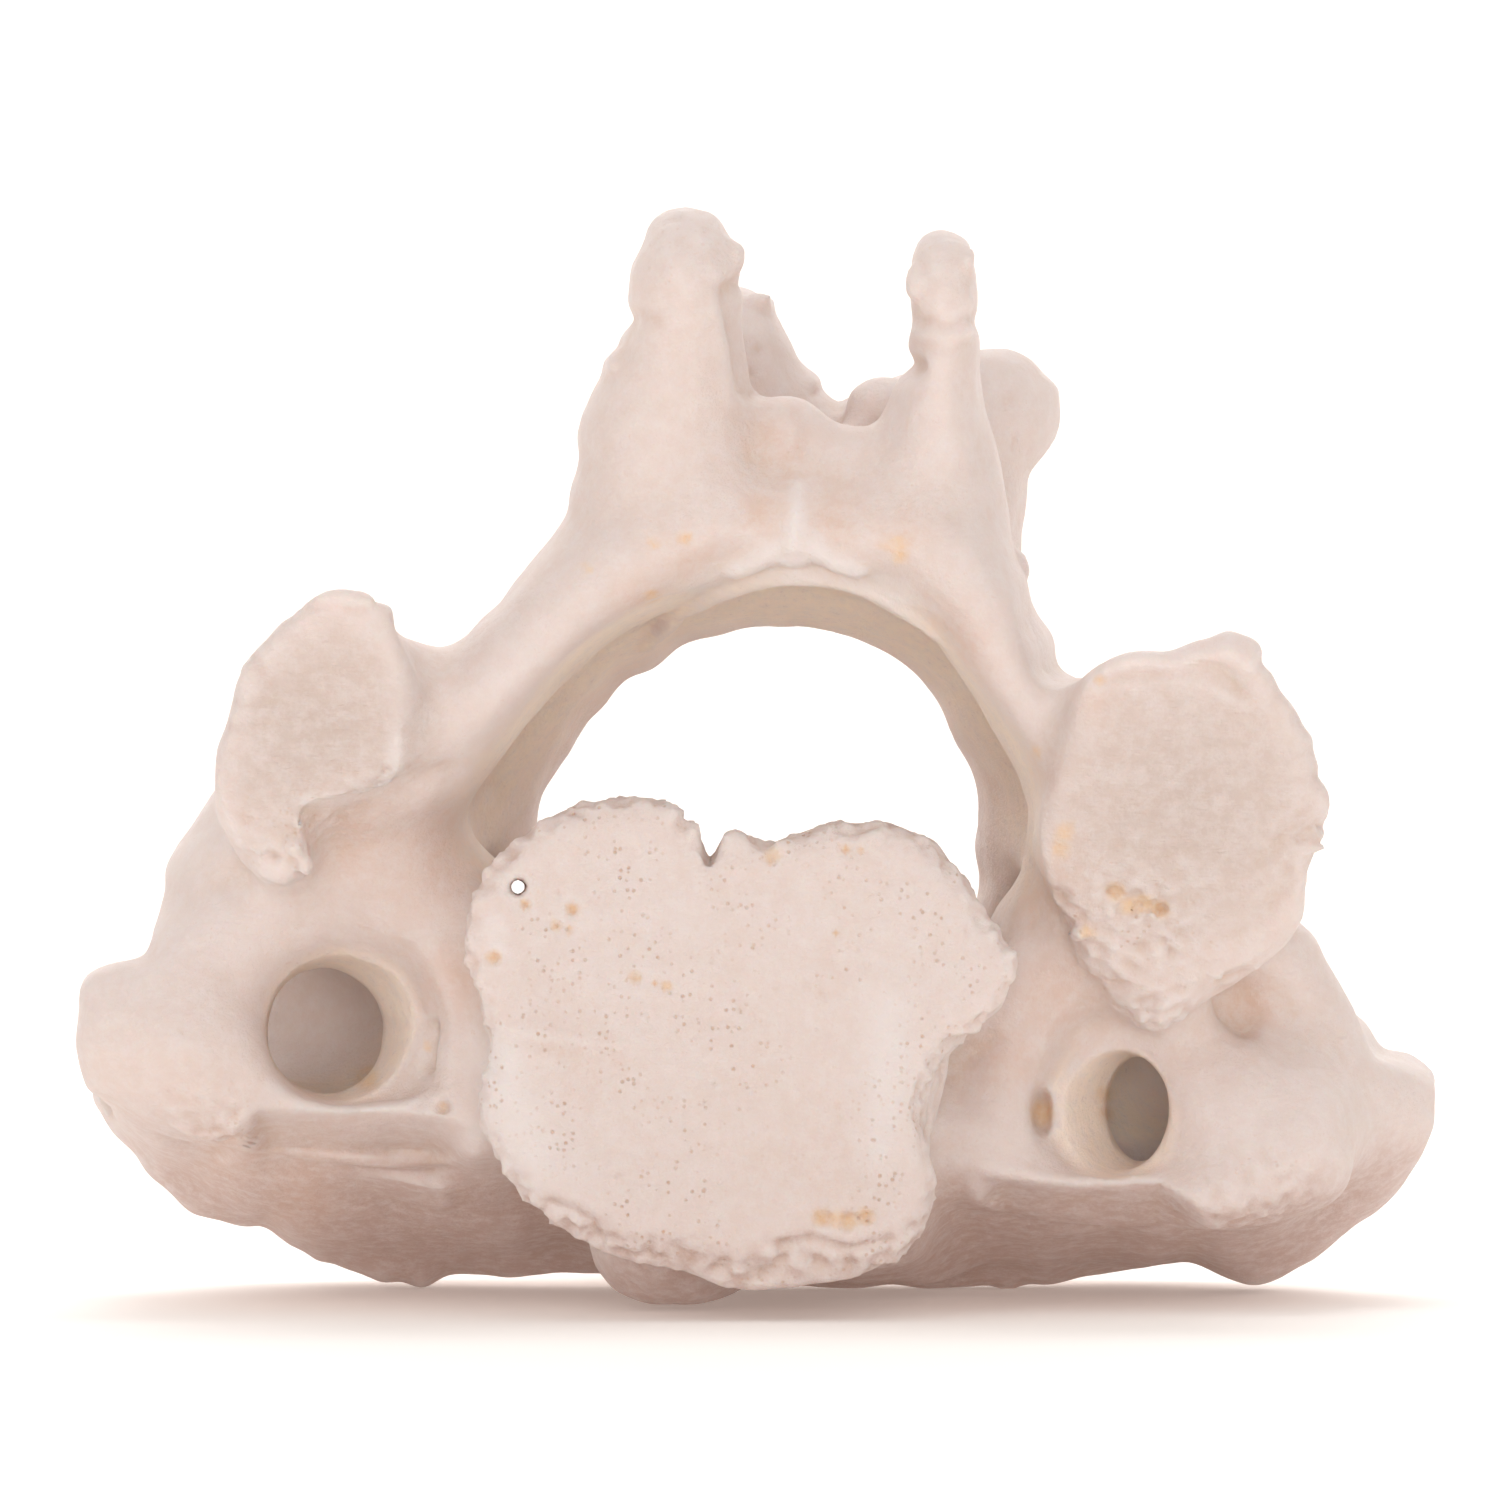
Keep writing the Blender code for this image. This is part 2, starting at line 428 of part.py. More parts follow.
def partings():
    """The thin cuts that part the bone into its named regions."""
    whole = (-8.0, 60.0)
    left, right = (-34.0, LEFT_SIDE_X), (RIGHT_SIDE_X, 34.0)
    arch_outline = ARCH_LEFT + ((ARCH_LEFT[-1][0], 48.0), (ARCH_RIGHT[-1][0], 48.0)) + ARCH_RIGHT[::-1]
    return [
        cut_sheet("body_left_cut", ((LEFT_SIDE_X, -3.0), (LEFT_SIDE_X, 17.0), (-8.2, 21.6)), whole, "y"),
        cut_sheet("body_right_cut", ((RIGHT_SIDE_X, -3.0), (RIGHT_SIDE_X, 17.0), (8.2, 21.6)), whole, "y"),
        cut_sheet("body_cut", ((BODY_CUT_Y, -3.0), (BODY_CUT_Y, 22.0)), (LEFT_SIDE_X, RIGHT_SIDE_X), "x"),
        cut_sheet("dens_cut", ((DENS_CUT_Y, -3.0), (DENS_CUT_Y, 20.0)), (-9.0, 8.5), "x"),
        cut_sheet("wing_left_cut", ((WING_CUT_Y, -3.0), (WING_CUT_Y, PILLAR_CUT_Z)), left, "x"),
        cut_sheet("wing_right_cut", ((WING_CUT_Y, -3.0), (WING_CUT_Y, PILLAR_CUT_Z)), right, "x"),
        cut_sheet("pillar_left_cut", ((-10.0, PILLAR_CUT_Z), (48.0, PILLAR_CUT_Z)), left, "x"),
        cut_sheet("pillar_right_cut", ((-4.0, 8.6), (8.0, 11.4), (12.5, PILLAR_CUT_Z), (48.0, PILLAR_CUT_Z)), right,
                  "x"),
        cut_sheet("arch_left_cut", ARCH_LEFT, whole, "y"),
        cut_sheet("arch_right_cut", ARCH_RIGHT, whole, "y"),
        cut_sheet("middle_cut", ((1.2, 24.0), (1.6, 31.5), (3.4, 38.5)), whole, "y"),
        cut_sheet("spine_cut", ((-14.0, SPINE_CUT_Z), (16.0, SPINE_CUT_Z)), whole, "y"),
        flat_sheet("arch_cut", arch_outline, ARCH_CUT_Y),
    ]


# Each node's name, a point inside it, and its colour and roughness
NODES = {
    "third_body": ((-1.3, 6.0, 11.0), "#E6D8CC", 0.62),
    "axis_body": ((-0.5, 26.0, 8.5), "#DCCBBD", 0.6),
    "dens": ((-0.5, 44.0, 9.8), "#E4D6C8", 0.5),
    "shoulder_left": ((-17.0, 27.0, 8.0), "#DFD0C2", 0.52),
    "shoulder_right": ((17.0, 27.0, 8.0), "#DFD0C2", 0.52),
    "transverse_left": ((-19.0, 9.0, 11.0), "#E3D3C6", 0.6),
    "transverse_right": ((18.0, 11.0, 7.0), "#E1D1C3", 0.6),
    "pillar_left": ((-17.0, 9.0, 21.0), "#E5D8CD", 0.55),
    "pillar_right": ((17.0, 9.0, 20.0), "#E5D8CD", 0.55),
    "third_lamina_left": ((-7.5, 5.0, 27.5), "#E6D9CE", 0.52),
    "third_lamina_right": ((8.0, 5.0, 27.5), "#E6D9CE", 0.52),
    "axis_lamina_left": ((-7.5, 18.0, 26.5), "#E2D2C4", 0.56),
    "axis_lamina_right": ((8.0, 18.0, 26.5), "#E2D2C4", 0.56),
    "third_spine_left": ((-3.2, 3.5, 36.0), "#E7DACF", 0.5),
    "third_spine_right": ((7.3, 3.5, 36.0), "#E7DACF", 0.5),
    "axis_spine_left": ((-1.5, 14.0, 36.0), "#E4D5C8", 0.55),
    "axis_spine_right": ((8.0, 14.0, 35.0), "#E4D5C8", 0.55),
}


def linear(colour):
    values = (int(colour[i:i + 2], 16) / 255 for i in (1, 3, 5))
    return [v / 12.92 if v <= 0.04045 else ((v + 0.055) / 1.055) ** 2.4 for v in values]


def dry_bone(name, colour, roughness):
    material = bpy.data.materials.new(name + "_bone")
    material.use_nodes = True
    shader = material.node_tree.nodes["Principled BSDF"]
    shader.inputs["Base Color"].default_value = (*linear(colour), 1.0)
    shader.inputs["Roughness"].default_value = roughness
    shader.inputs["Metallic"].default_value = 0.0
    return material


def closed_parts(body):
    """The body's separate closed surfaces, each as (middle, volume, bmesh)."""
    whole = bmesh.new()
    whole.from_mesh(body.data)
    whole.verts.ensure_lookup_table()
    found, parts = set(), []
    for start in whole.verts:
        if start in found:
            continue
        group, front = {start}, [start]
        while front:
            vert = front.pop()
            for edge in vert.link_edges:
                other = edge.other_vert(vert)
                if other not in group:
                    group.add(other)
                    front.append(other)
        found |= group
        part = bmesh.new()
        made = {vert: part.verts.new(vert.co) for vert in group}
        for face in {face for vert in group for face in vert.link_faces}:
            part.faces.new([made[vert] for vert in face.verts])
        middle = sum((vert.co for vert in part.verts), Vector()) / len(part.verts)
        parts.append((middle, part.calc_volume(), part))
    whole.free()
    return parts


def part_into_nodes(bone):
    """Names each parted region by the point that lies nearest its middle, and keeps the largest of each."""
    best = {}
    for middle, volume, part in closed_parts(bone):
        name = min(NODES, key=lambda node: (Vector(NODES[node][0]) * MM - middle).length)
        if name not in best or volume > best[name][0]:
            best[name] = (volume, part)
    bpy.data.objects.remove(bone)
    nodes = []
    for name, (_, part) in best.items():
        mesh = bpy.data.meshes.new(name)
        part.to_mesh(mesh)
        mesh.shade_smooth()
        mesh.set_sharp_from_angle(angle=math.radians(50))
        mesh.materials.append(dry_bone(name, *NODES[name][1:]))
        node = bpy.data.objects.new(name, mesh)
        bpy.context.scene.collection.objects.link(node)
        nodes.append(node)
    return nodes


def stand_on_floor(nodes):
    """Moves the whole bone so that the middle of its box is over the origin and its lowest point at z = 0."""
    points = [vert.co for node in nodes for vert in node.data.vertices]
    low = Vector([min(p[axis] for p in points) for axis in range(3)])
    high = Vector([max(p[axis] for p in points) for axis in range(3)])
    shift = Vector((-(low.x + high.x) / 2, -(low.y + high.y) / 2, -low.z))
    for node in nodes:
        node.data.transform(Matrix.Translation(shift))
    return shift / MM


def main():
    clear_scene()
    bone = whole_bone()
    lighter = bone.modifiers.new("lighter", "DECIMATE")
    lighter.ratio = KEPT_TRIANGLES
    apply_modifiers(bone)
    boolean(bone, partings(), "DIFFERENCE", "partings")
    return stand_on_floor(part_into_nodes(bone))


if __name__ == "__main__":
    main()
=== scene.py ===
"""Dry human bone: the axis and the third neck vertebra, grown together, seen from below.

The pair lies on its front edge with its spines up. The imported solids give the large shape. They are
joined here into one skin, which then gets its lips, holes, pits and finish. Places are given in
millimetres in the bone's own frame: x across, y away from the viewer and z up, with y = 0 at the
lower end plate. A spot is where something shows to the viewer, measured across and up on the plane
of that end plate.
"""

import math
import random

import bpy
import numpy as np
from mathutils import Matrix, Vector


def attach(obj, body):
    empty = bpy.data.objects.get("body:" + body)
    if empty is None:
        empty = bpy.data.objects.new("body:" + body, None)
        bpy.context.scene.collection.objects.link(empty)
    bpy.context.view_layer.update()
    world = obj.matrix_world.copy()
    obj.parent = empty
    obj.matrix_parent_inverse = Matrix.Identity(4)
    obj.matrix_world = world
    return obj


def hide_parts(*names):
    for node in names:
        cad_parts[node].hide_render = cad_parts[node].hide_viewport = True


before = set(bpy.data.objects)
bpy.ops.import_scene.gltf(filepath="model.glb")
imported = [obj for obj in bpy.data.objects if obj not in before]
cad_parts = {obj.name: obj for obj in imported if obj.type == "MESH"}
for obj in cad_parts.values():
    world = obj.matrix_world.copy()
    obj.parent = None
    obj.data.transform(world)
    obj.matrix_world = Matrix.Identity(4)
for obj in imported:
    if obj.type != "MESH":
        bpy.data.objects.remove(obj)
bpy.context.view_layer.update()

MM = 0.001
BONE_TO_ROW = Vector((-0.2678, -23.5718, 0.1789))
VIEW_DISTANCE = 420.0
VIEW_HEIGHT = 22.35
FILM_WIDTH = 36.0
LENS = 251.67  # shows 60.1 mm across at the end plate

# Half the widest parting between two solids, with a little to spare.
WELD_GAP = 0.25 * MM
FIRST_VOXEL = 0.24 * MM
FINE_VOXEL = 0.2 * MM
MOST_TRIANGLES = 196000

# The lip of the lower end plate, going round it.
PLATE_MARGIN = [
    (-5.15, 20.7), (-3.45, 20.5), (-2.6, 19.8), (-2.25, 19.1), (-1.85, 18.55), (-1.5, 19),
    (-1.2, 19.35), (-0.45, 19.35),
    (0.15, 19), (0.9, 18.95), (1.55, 19.35), (2.35, 19.55), (3.55, 19.5), (4.75, 19.7), (5.7, 19.15),
    (7, 18.75),
    (7.7, 17.9), (8.35, 17.2), (8.8, 16.3), (9.4, 15.5), (10.15, 14.7), (10.35, 13.85), (10, 12.65),
    (9.1, 11.95), (8.1, 11.15), (7.5, 10.6), (7, 9.85), (6.6, 9.15), (6.45, 8.5), (6.9, 7.3),
    (7.2, 6), (7.05, 4.3), (6.15, 2.95), (4.95, 2.25), (3.35, 2.25), (1.75, 2.25), (0.9, 2.65),
    (-0.1, 1.7), (-1.25, 1.85), (-2.4, 2.2), (-4.15, 2.7), (-5.6, 2.9), (-6.95, 3.5), (-7.8, 3.85),
    (-8.45, 4.1), (-9, 4.9), (-9.45, 5.45), (-10.15, 6.1), (-10.45, 6.65), (-10.95, 7.1), (-11.2, 7.65),
    (-10.95, 9.1), (-10.55, 10.45), (-10.7, 11.4), (-10.8, 12.2), (-11.15, 13.25), (-11.5, 14.3),
    (-11.65, 15.5),
    (-11.15, 16.85), (-10.15, 18.35), (-9, 19.35), (-7.45, 20.2),
]


def at(x, y, z):
    """A place in the bone's frame, in millimetres, as a point of the row frame in metres."""
    return (Vector((x, y, z)) + BONE_TO_ROW) * MM


def seen_at(spot, depth):
    """The place that shows at a spot and lies that far behind the end plate."""
    spread = (VIEW_DISTANCE + depth) / VIEW_DISTANCE
    return (spot[0] * spread, depth, VIEW_HEIGHT + (spot[1] - VIEW_HEIGHT) * spread)


def choose(*objects):
    """Selects only these, with the first of them active."""
    bpy.ops.object.select_all(action="DESELECT")
    for thing in objects:
        thing.select_set(True)
    bpy.context.view_layer.objects.active = objects[0]


def finish_with(thing, kind, **settings):
    """Adds one modifier with its settings and applies it."""
    choose(thing)
    step = thing.modifiers.new(kind.lower(), kind)
    for name, value in settings.items():
        setattr(step, name, value)
    bpy.ops.object.modifier_apply(modifier=step.name)


def joined(things):
    choose(*things)
    bpy.ops.object.join()
    return bpy.context.active_object


def welded_copy(node):
    """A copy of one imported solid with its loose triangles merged."""
    twin = bpy.data.objects.new(f"copy_{node.name}", node.data.copy())
    bpy.context.scene.collection.objects.link(twin)
    choose(twin)
    bpy.ops.object.mode_set(mode="EDIT")
    bpy.ops.mesh.select_all(action="SELECT")
    bpy.ops.mesh.remove_doubles(threshold=0.01 * MM)
    bpy.ops.object.mode_set(mode="OBJECT")
    return twin


def lamina_masses():
    """Bone between the two spines, which slopes back to the shelf above the keel."""
    return [
        lump(seen_at((1.25, 34.25), 4.4), (2.1, 2.6, 2.5)),
        lump(seen_at((3.6, 33.25), 4.2), (2.7, 2.6, 2.3)),
        lump(seen_at((1.75, 32.2), 3.8), (4.2, 2.8, 2.0)),
        lump(seen_at((1.75, 33.65), 8.0), (3.0, 3.2, 2.2)),
        lump(seen_at((5.1, 36.1), 10.5), (1.7, 2.2, 1.4)),
    ]


def joined_skin():
    """One closed skin over all the solids, with the narrow partings between them filled."""
    solids = [welded_copy(node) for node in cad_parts.values()]
    skin = joined(solids + lamina_masses() + artery_sleeves())
    skin.name = "fused_vertebrae"
    finish_with(skin, "DISPLACE", strength=WELD_GAP, mid_level=0.0)
    finish_with(skin, "REMESH", mode="VOXEL", voxel_size=FIRST_VOXEL, adaptivity=0.0)
    finish_with(skin, "DISPLACE", strength=-WELD_GAP, mid_level=0.0)
    finish_with(skin, "SMOOTH", factor=0.5, iterations=14)
    return skin


def place_on(skin, spot, sink=0.0):
    """The place where the line of sight through a spot meets the skin, pushed in by sink."""
    eye = at(0, -VIEW_DISTANCE, VIEW_HEIGHT)
    aim = (at(spot[0], 0, spot[1]) - eye).normalized()
    hit, place, _, _ = skin.ray_cast(eye, aim)
    if not hit:
        return None
    x, y, z = place / MM - BONE_TO_ROW
    return (x + aim.x * sink, y + aim.y * sink, z + aim.z * sink)


def lump(place, radii, turn=(0, 0, 0)):
    """A rounded lump; radii are its half sizes across, in depth and up."""
    bpy.ops.mesh.primitive_ico_sphere_add(
        subdivisions=3,
        radius=MM,
        location=at(*place),
        rotation=[math.radians(a) for a in turn],
        scale=radii,
    )
    thing = bpy.context.active_object
    choose(thing)
    bpy.ops.object.transform_apply(location=True, rotation=True, scale=True)
    return thing


def tapered_plug(front, back):
    """A round plug between two upright ellipses, each given as its centre, half width and half height."""
    bpy.ops.mesh.primitive_cylinder_add(vertices=40, radius=1.0, depth=2.0)
    thing = bpy.context.active_object
    for corner in thing.data.vertices:
        across, up, side = corner.co
        centre, wide, high = front if side > 0 else back
        corner.co = at(centre[0] + across * wide, centre[1], centre[2] + up * high)
    return thing


def strand(places, radii):
    """A round tapering strand through places; radii has one radius for each of them."""
    curve = bpy.data.curves.new("strand", "CURVE")
    curve.dimensions = "3D"
    curve.bevel_depth = MM
    curve.bevel_resolution = 3
    curve.use_fill_caps = True
    line = curve.splines.new("NURBS")
    line.points.add(len(places) - 1)
    line.use_endpoint_u = True
    line.order_u = 3
    line.resolution_u = 4
    for point, place, radius in zip(line.points, places, radii):
        point.co = (*at(*place), 1.0)
        point.radius = radius
    thing = bpy.data.objects.new("strand", curve)
    bpy.context.scene.collection.objects.link(thing)
    choose(thing)
    bpy.ops.object.convert(target="MESH")
    thing = bpy.context.active_object
    bpy.ops.object.mode_set(mode="EDIT")
    bpy.ops.mesh.select_all(action="SELECT")
    bpy.ops.mesh.remove_doubles(threshold=0.01 * MM)
    bpy.ops.mesh.normals_make_consistent(inside=False)
    bpy.ops.object.mode_set(mode="OBJECT")
    return thing


def strand_on(skin, spots, radii, sink=0.0):
    """A strand that follows spots on the skin; missed spots are left out."""
    found = [(place_on(skin, s, sink), r) for s, r in zip(spots, radii)]
    kept = [pair for pair in found if pair[0] is not None]
    return strand([place for place, _ in kept], [radius for _, radius in kept])


def points_between(spots, count, dice):
    """Random points along a path of spots."""
    picked = []
    for _ in range(count):
        step = dice.randrange(len(spots) - 1)
        part = dice.random()
        a, b = spots[step], spots[step + 1]
        picked.append((a[0] + (b[0] - a[0]) * part, a[1] + (b[1] - a[1]) * part))
    return picked


def crumbs(skin, spots, count, sizes, spread, seed, sink=0.1):
    """Small knobs scattered along a worn edge."""
    dice = random.Random(seed)
    made = []
    for across, up in points_between(spots, count, dice):
        spot = (across + dice.uniform(-spread, spread), up + dice.uniform(-spread, spread))
        size = dice.uniform(*sizes)
        place = place_on(skin, spot, sink + size * 0.4)
        if place is None:
            continue
        radii = [size * dice.uniform(0.7, 1.3) for _ in range(3)]
        made.append(lump(place, radii, [dice.uniform(0, 180) for _ in range(3)]))
    return made


def left_face_lips(skin):
    """The thin upper lip of the left joint face, its torn lower rim and the curl at its foot."""
    upper = [(-18.2, 27.9), (-17.4, 28.45), (-16.45, 28.6), (-15.4, 28.35), (-14.7, 27.85),
             (-14.15, 27.1)]
    lower = [(-14.2, 21.5), (-15.25, 21.25), (-16.55, 20.7), (-18, 20.5), (-18.9, 20.1)]
    made = [
        strand_on(skin, upper, [0.2, 0.42, 0.5, 0.5, 0.45, 0.25], sink=0.1),
        strand_on(skin, lower, [0.25, 0.35, 0.38, 0.32, 0.2], sink=0.1),
        strand_on(skin, [(-14.3, 21.8), (-15.5, 21.5), (-16.75, 21.25), (-18, 20.95)],
                  [0.1, 0.2, 0.2, 0.1]),
        strand_on(skin, [(-14.3, 23.45), (-14.2, 22.8), (-14.25, 22.1), (-14.55, 21.3)],
                  [0.15, 0.25, 0.25, 0.2]),
        strand_on(skin, [(-21.05, 20.4), (-20.6, 19.5), (-20.2, 18.6)], [0.2, 0.35, 0.3], sink=0.1),
    ]
    ring = [(-19.65, 18.75), (-19.75, 18.2), (-19.45, 17.75), (-18.85, 17.6), (-18.4, 17.9),
            (-18.35, 18.5), (-18.7, 18.95)]
    made.append(strand_on(skin, ring, [0.22, 0.28, 0.3, 0.3, 0.28, 0.26, 0.2], sink=-0.05))
    made.append(lump(place_on(skin, (-19.05, 18.3), 0.3), (0.75, 0.5, 0.75)))
    made.append(lump(place_on(skin, (-18.2, 17.7), 0.1), (0.3, 0.3, 0.32)))
    made.append(lump(seen_at((-18.1, 19.75), 1.6), (0.42, 0.9, 0.5)))
    made.append(lump(seen_at((-18.25, 18.75), 1.7), (0.4, 0.9, 0.45)))
    made.append(lump(seen_at((-17.9, 18), 1.9), (0.3, 0.6, 0.4)))
    made += crumbs(skin, lower, 14, (0.15, 0.3), 0.25, 1)
    made += crumbs(skin, [(-20.8, 20.6), (-20.1, 18.6), (-18.7, 17.6)], 10, (0.15, 0.32), 0.3, 2)
    return made


def right_face_lips(skin):
    """The thick upper rim and knob of the right joint face, its spike and its torn flange."""
    top = [(13.25, 24.95), (13.85, 25.75), (14.85, 26.1), (16.05, 26.35), (17.45, 26.35), (18.1, 26.5)]
    flange = [(11.7, 17.75), (12.15, 16.65), (12.8, 15.65), (13.35, 14.7), (13.5, 13.85), (14, 13.05)]
    tip = [(14, 13.05), (14.8, 12.55), (15.25, 12.05), (15.8, 11.6), (16.3, 11.8)]
    made = [
        strand_on(skin, top, [0.3, 0.4, 0.4, 0.4, 0.42, 0.4], sink=0.15),
        lump(place_on(skin, (18.7, 26.5), 0.2), (0.75, 0.7, 0.5), (0, 15, 0)),
        lump(place_on(skin, (19.5, 26.15), 0.2), (0.55, 0.7, 0.6)),
        lump(seen_at((22.25, 20.9), 0.9), (0.5, 0.6, 0.75), (0, -20, 0)),
        lump(seen_at((21.7, 22.3), -0.2), (0.4, 0.5, 0.6), (0, -20, 0)),
        lump(seen_at((20.8, 24.45), -1.4), (0.4, 0.5, 0.6), (0, -30, 0)),
        strand([seen_at((21.45, 18.7), 1.6), seen_at((22, 18.7), 1.5), seen_at((22.75, 18.75), 1.4)],
               [0.45, 0.38, 0.12]),
        lump(seen_at((12.8, 15.3), 3.2), (0.45, 0.45, 0.3)),
        strand_on(skin, [(11.5, 20.6), (11.45, 19.4), (11.65, 18.2), (12, 17.2)],
                  [0.2, 0.3, 0.35, 0.3], sink=0.1),
    ]
    made += crumbs(skin, flange, 10, (0.2, 0.38), 0.15, 3)
    made += crumbs(skin, tip, 8, (0.2, 0.38), 0.15, 4)
    made += crumbs(skin, [(17.25, 13.85), (18.65, 13.45), (20.1, 14.3)], 4, (0.3, 0.5), 0.1, 5)
    return made


def plate_lips(skin):
    """The scalloped lip of the lower end plate and the second bony layer under it."""
    under = [(-8.1, 4.15), (-6.6, 3.2), (-4.6, 2.7), (-2.6, 2.2), (-0.45, 1.55)]
    under += [(1.35, 1.75), (3.15, 2), (4.75, 2.4), (5.9, 3.3), (6.6, 4.4)]
    layer = [seen_at(spot, 1.2) for spot in under]
    made = [
        strand(layer, [0.3, 0.42, 0.5, 0.55, 0.55, 0.55, 0.55, 0.6, 0.5, 0.3]),
        lump(seen_at((1.75, 2.35), 1.7), (2.0, 1.3, 0.6)),
        lump(seen_at((-1.1, 18.8), 0.75), (0.42, 0.8, 0.5), (0, 20, 0)),
        lump(seen_at((-0.5, 18.75), 0.75), (0.42, 0.8, 0.42)),
        lump(seen_at((1.35, 18.75), 0.75), (0.4, 0.8, 0.36)),
        lump(seen_at((-3.35, 20.1), 0.6), (0.5, 0.7, 0.4)),
        lump(seen_at((-2.55, 19.35), 0.6), (0.4, 0.7, 0.5)),
        lump(seen_at((10, 14.15), 0.7), (0.45, 0.7, 0.7)),
        lump(seen_at((9.4, 15.3), 0.7), (0.4, 0.6, 0.12)),
    ]
    jagged = [(-11.2, 7.65), (-10.45, 6.65), (-9.45, 5.45), (-8.45, 4.2), (-6.95, 3.5), (-4.15, 2.8)]
    made += crumbs(skin, jagged, 26, (0.16, 0.34), 0.12, 6, sink=0.15)
    made += crumbs(skin, PLATE_MARGIN, 26, (0.14, 0.26), 0.08, 16, sink=0.15)
    foot = [(-4.15, 2.8), (-2.25, 2.25), (-0.45, 1.6), (1.35, 2.25), (3.75, 2.5), (5.7, 3.1)]
    made += crumbs(skin, foot, 22, (0.14, 0.28), 0.15, 26, sink=0.12)
    return made


def bar_ridges(skin):
    """Rough crests along the lower edges of the two side bars."""
    left = [(-23.2, 8.2), (-22.5, 7.55), (-21.6, 7.15), (-20.8, 7.25), (-20.4, 7.75)]
    right = [(17.85, 4.85), (18.65, 4.55), (19.65, 4.3), (20.6, 4.4), (21.2, 4.65)]
    made = crumbs(skin, left, 26, (0.16, 0.34), 0.2, 7)
    made += crumbs(skin, right, 14, (0.16, 0.3), 0.2, 8)
    made.append(strand_on(skin, [(-19.65, 9.4), (-18.5, 8.6), (-16.95, 8.2), (-15.15, 8.3),
                                 (-13.15, 8.75)],
                          [0.2, 0.32, 0.36, 0.34, 0.2]))
    made.append(strand_on(skin, [(9.1, 6.05), (11.3, 5.5), (13.05, 5.35), (14.85, 5.4), (16.25, 5.75)],
                          [0.2, 0.3, 0.34, 0.34, 0.25]))
    return made


def spine_lumps(skin):
    """Knobs on the spine tips, the keel above the canal and the thick rim under it."""
    keel = [(1.7, 33.2), (1.65, 32.45), (1.55, 31.55), (1.45, 30.6)]
    left_wing = [(1.5, 31.9), (1.1, 31), (0.25, 30.4), (-1.1, 29.8)]
    right_wing = [(1.65, 31.9), (2.05, 31), (2.95, 30.4), (4.3, 29.85)]
    rim = [(-4.6, 26.95), (-2.6, 28.45), (-0.65, 29.4), (1.55, 29.9), (3.75, 29.5), (5.9, 28.45),
           (7.5, 26.95)]
    return [
        lump(seen_at((-0.95, 42.15), 0.6), (0.5, 0.8, 0.6)),
        lump(seen_at((-4.6, 41.15), 0.6), (0.4, 0.8, 0.9)),
        lump(seen_at((-5.65, 38), 1.6), (0.4, 0.9, 0.6)),
        lump(seen_at((0.05, 40.45), 12.0), (0.5, 0.6, 0.35)),
        lump(seen_at((6.35, 41.15), 0.3), (0.4, 0.7, 0.8)),
        lump(seen_at((8.4, 42), 0.3), (0.35, 0.6, 0.5)),
        lump(seen_at((8.4, 40.4), 0.3), (0.35, 0.5, 0.4)),
        lump(seen_at((8.45, 39.45), 0.3), (0.35, 0.5, 0.4)),
        lump(seen_at((10.35, 29.9), 6.0), (0.5, 0.9, 0.7)),
        strand_on(skin, keel, [0.2, 0.3, 0.42, 0.6], 0.08),
        strand_on(skin, left_wing, [0.25, 0.55, 0.75, 0.6], 0.38),
        strand_on(skin, right_wing, [0.25, 0.55, 0.75, 0.6], 0.38),
        lump(place_on(skin, (1.5, 30.3), 0.35), (0.9, 0.7, 0.55)),
        strand_on(skin, rim, [0.3, 0.5, 0.65, 0.7, 0.65, 0.5, 0.3], 0.45),
    ]


def artery_sleeves():
    """Bone that fills the front of both artery canals, so that they can be bored at their own slant."""
    return [
        tapered_plug(((-16.75, 7.6, 11.4), 4.0, 4.0), ((-16.8, 12.0, 11.4), 3.5, 3.5)),
        tapered_plug(((14.4, 8.6, 7.9), 3.0, 3.3), ((14.6, 13.0, 8.2), 2.6, 3.0)),
    ]


def artery_bores():
    """The slanting bores: each has a flared mouth, then narrows as it goes back and outwards."""
    left_mouth = (seen_at((-16.4, 11.6), 6.4), 3.2, 3.1)
    left_neck = (seen_at((-17.1, 11.4), 10.4), 2.4, 2.62)
    right_mouth = (seen_at((13.95, 8.2), 7.4), 2.55, 2.7)
    right_neck = (seen_at((15.15, 8.3), 11.2), 1.3, 2.2)
    return [
        tapered_plug((seen_at((-16.35, 11.7), 1.0), 4.0, 3.9), left_mouth),
        tapered_plug(left_mouth, left_neck),
        tapered_plug(left_neck, (seen_at((-17.4, 11.45), 19.0), 2.4, 2.62)),
        tapered_plug((seen_at((14, 8.2), 2.0), 3.1, 3.4), right_mouth),
        tapered_plug(right_mouth, right_neck),
        tapered_plug(right_neck, (seen_at((15.65, 8.4), 17.0), 1.5, 2.2)),
    ]


def cave_specks(skin):
    """White bone left standing in the torn cave of the right flange and in the plate's trough."""
    spots = [(14.45, 16.7), (14.95, 16.3), (15, 16.8), (15.65, 16.7), (15.75, 16.05), (14.15, 16.15),
             (3.2, 4)]
    return [lump(place_on(skin, spot, -0.05), (0.14, 0.2, 0.16)) for spot in spots]


def carve(skin, cutters):
    """Takes all the cutters out of the skin in one go."""
    tool = joined(cutters)
    finish_with(tool, "REMESH", mode="VOXEL", voxel_size=0.12 * MM, adaptivity=0.0)
    finish_with(skin, "BOOLEAN", operation="DIFFERENCE", object=tool, solver="MANIFOLD")
    bpy.data.objects.remove(tool)


def pit(skin, spot, radii, sink=0.0, turn=(0, 0, 0)):
    """The cutter of one small pit."""
    return lump(place_on(skin, spot, sink), radii, turn)


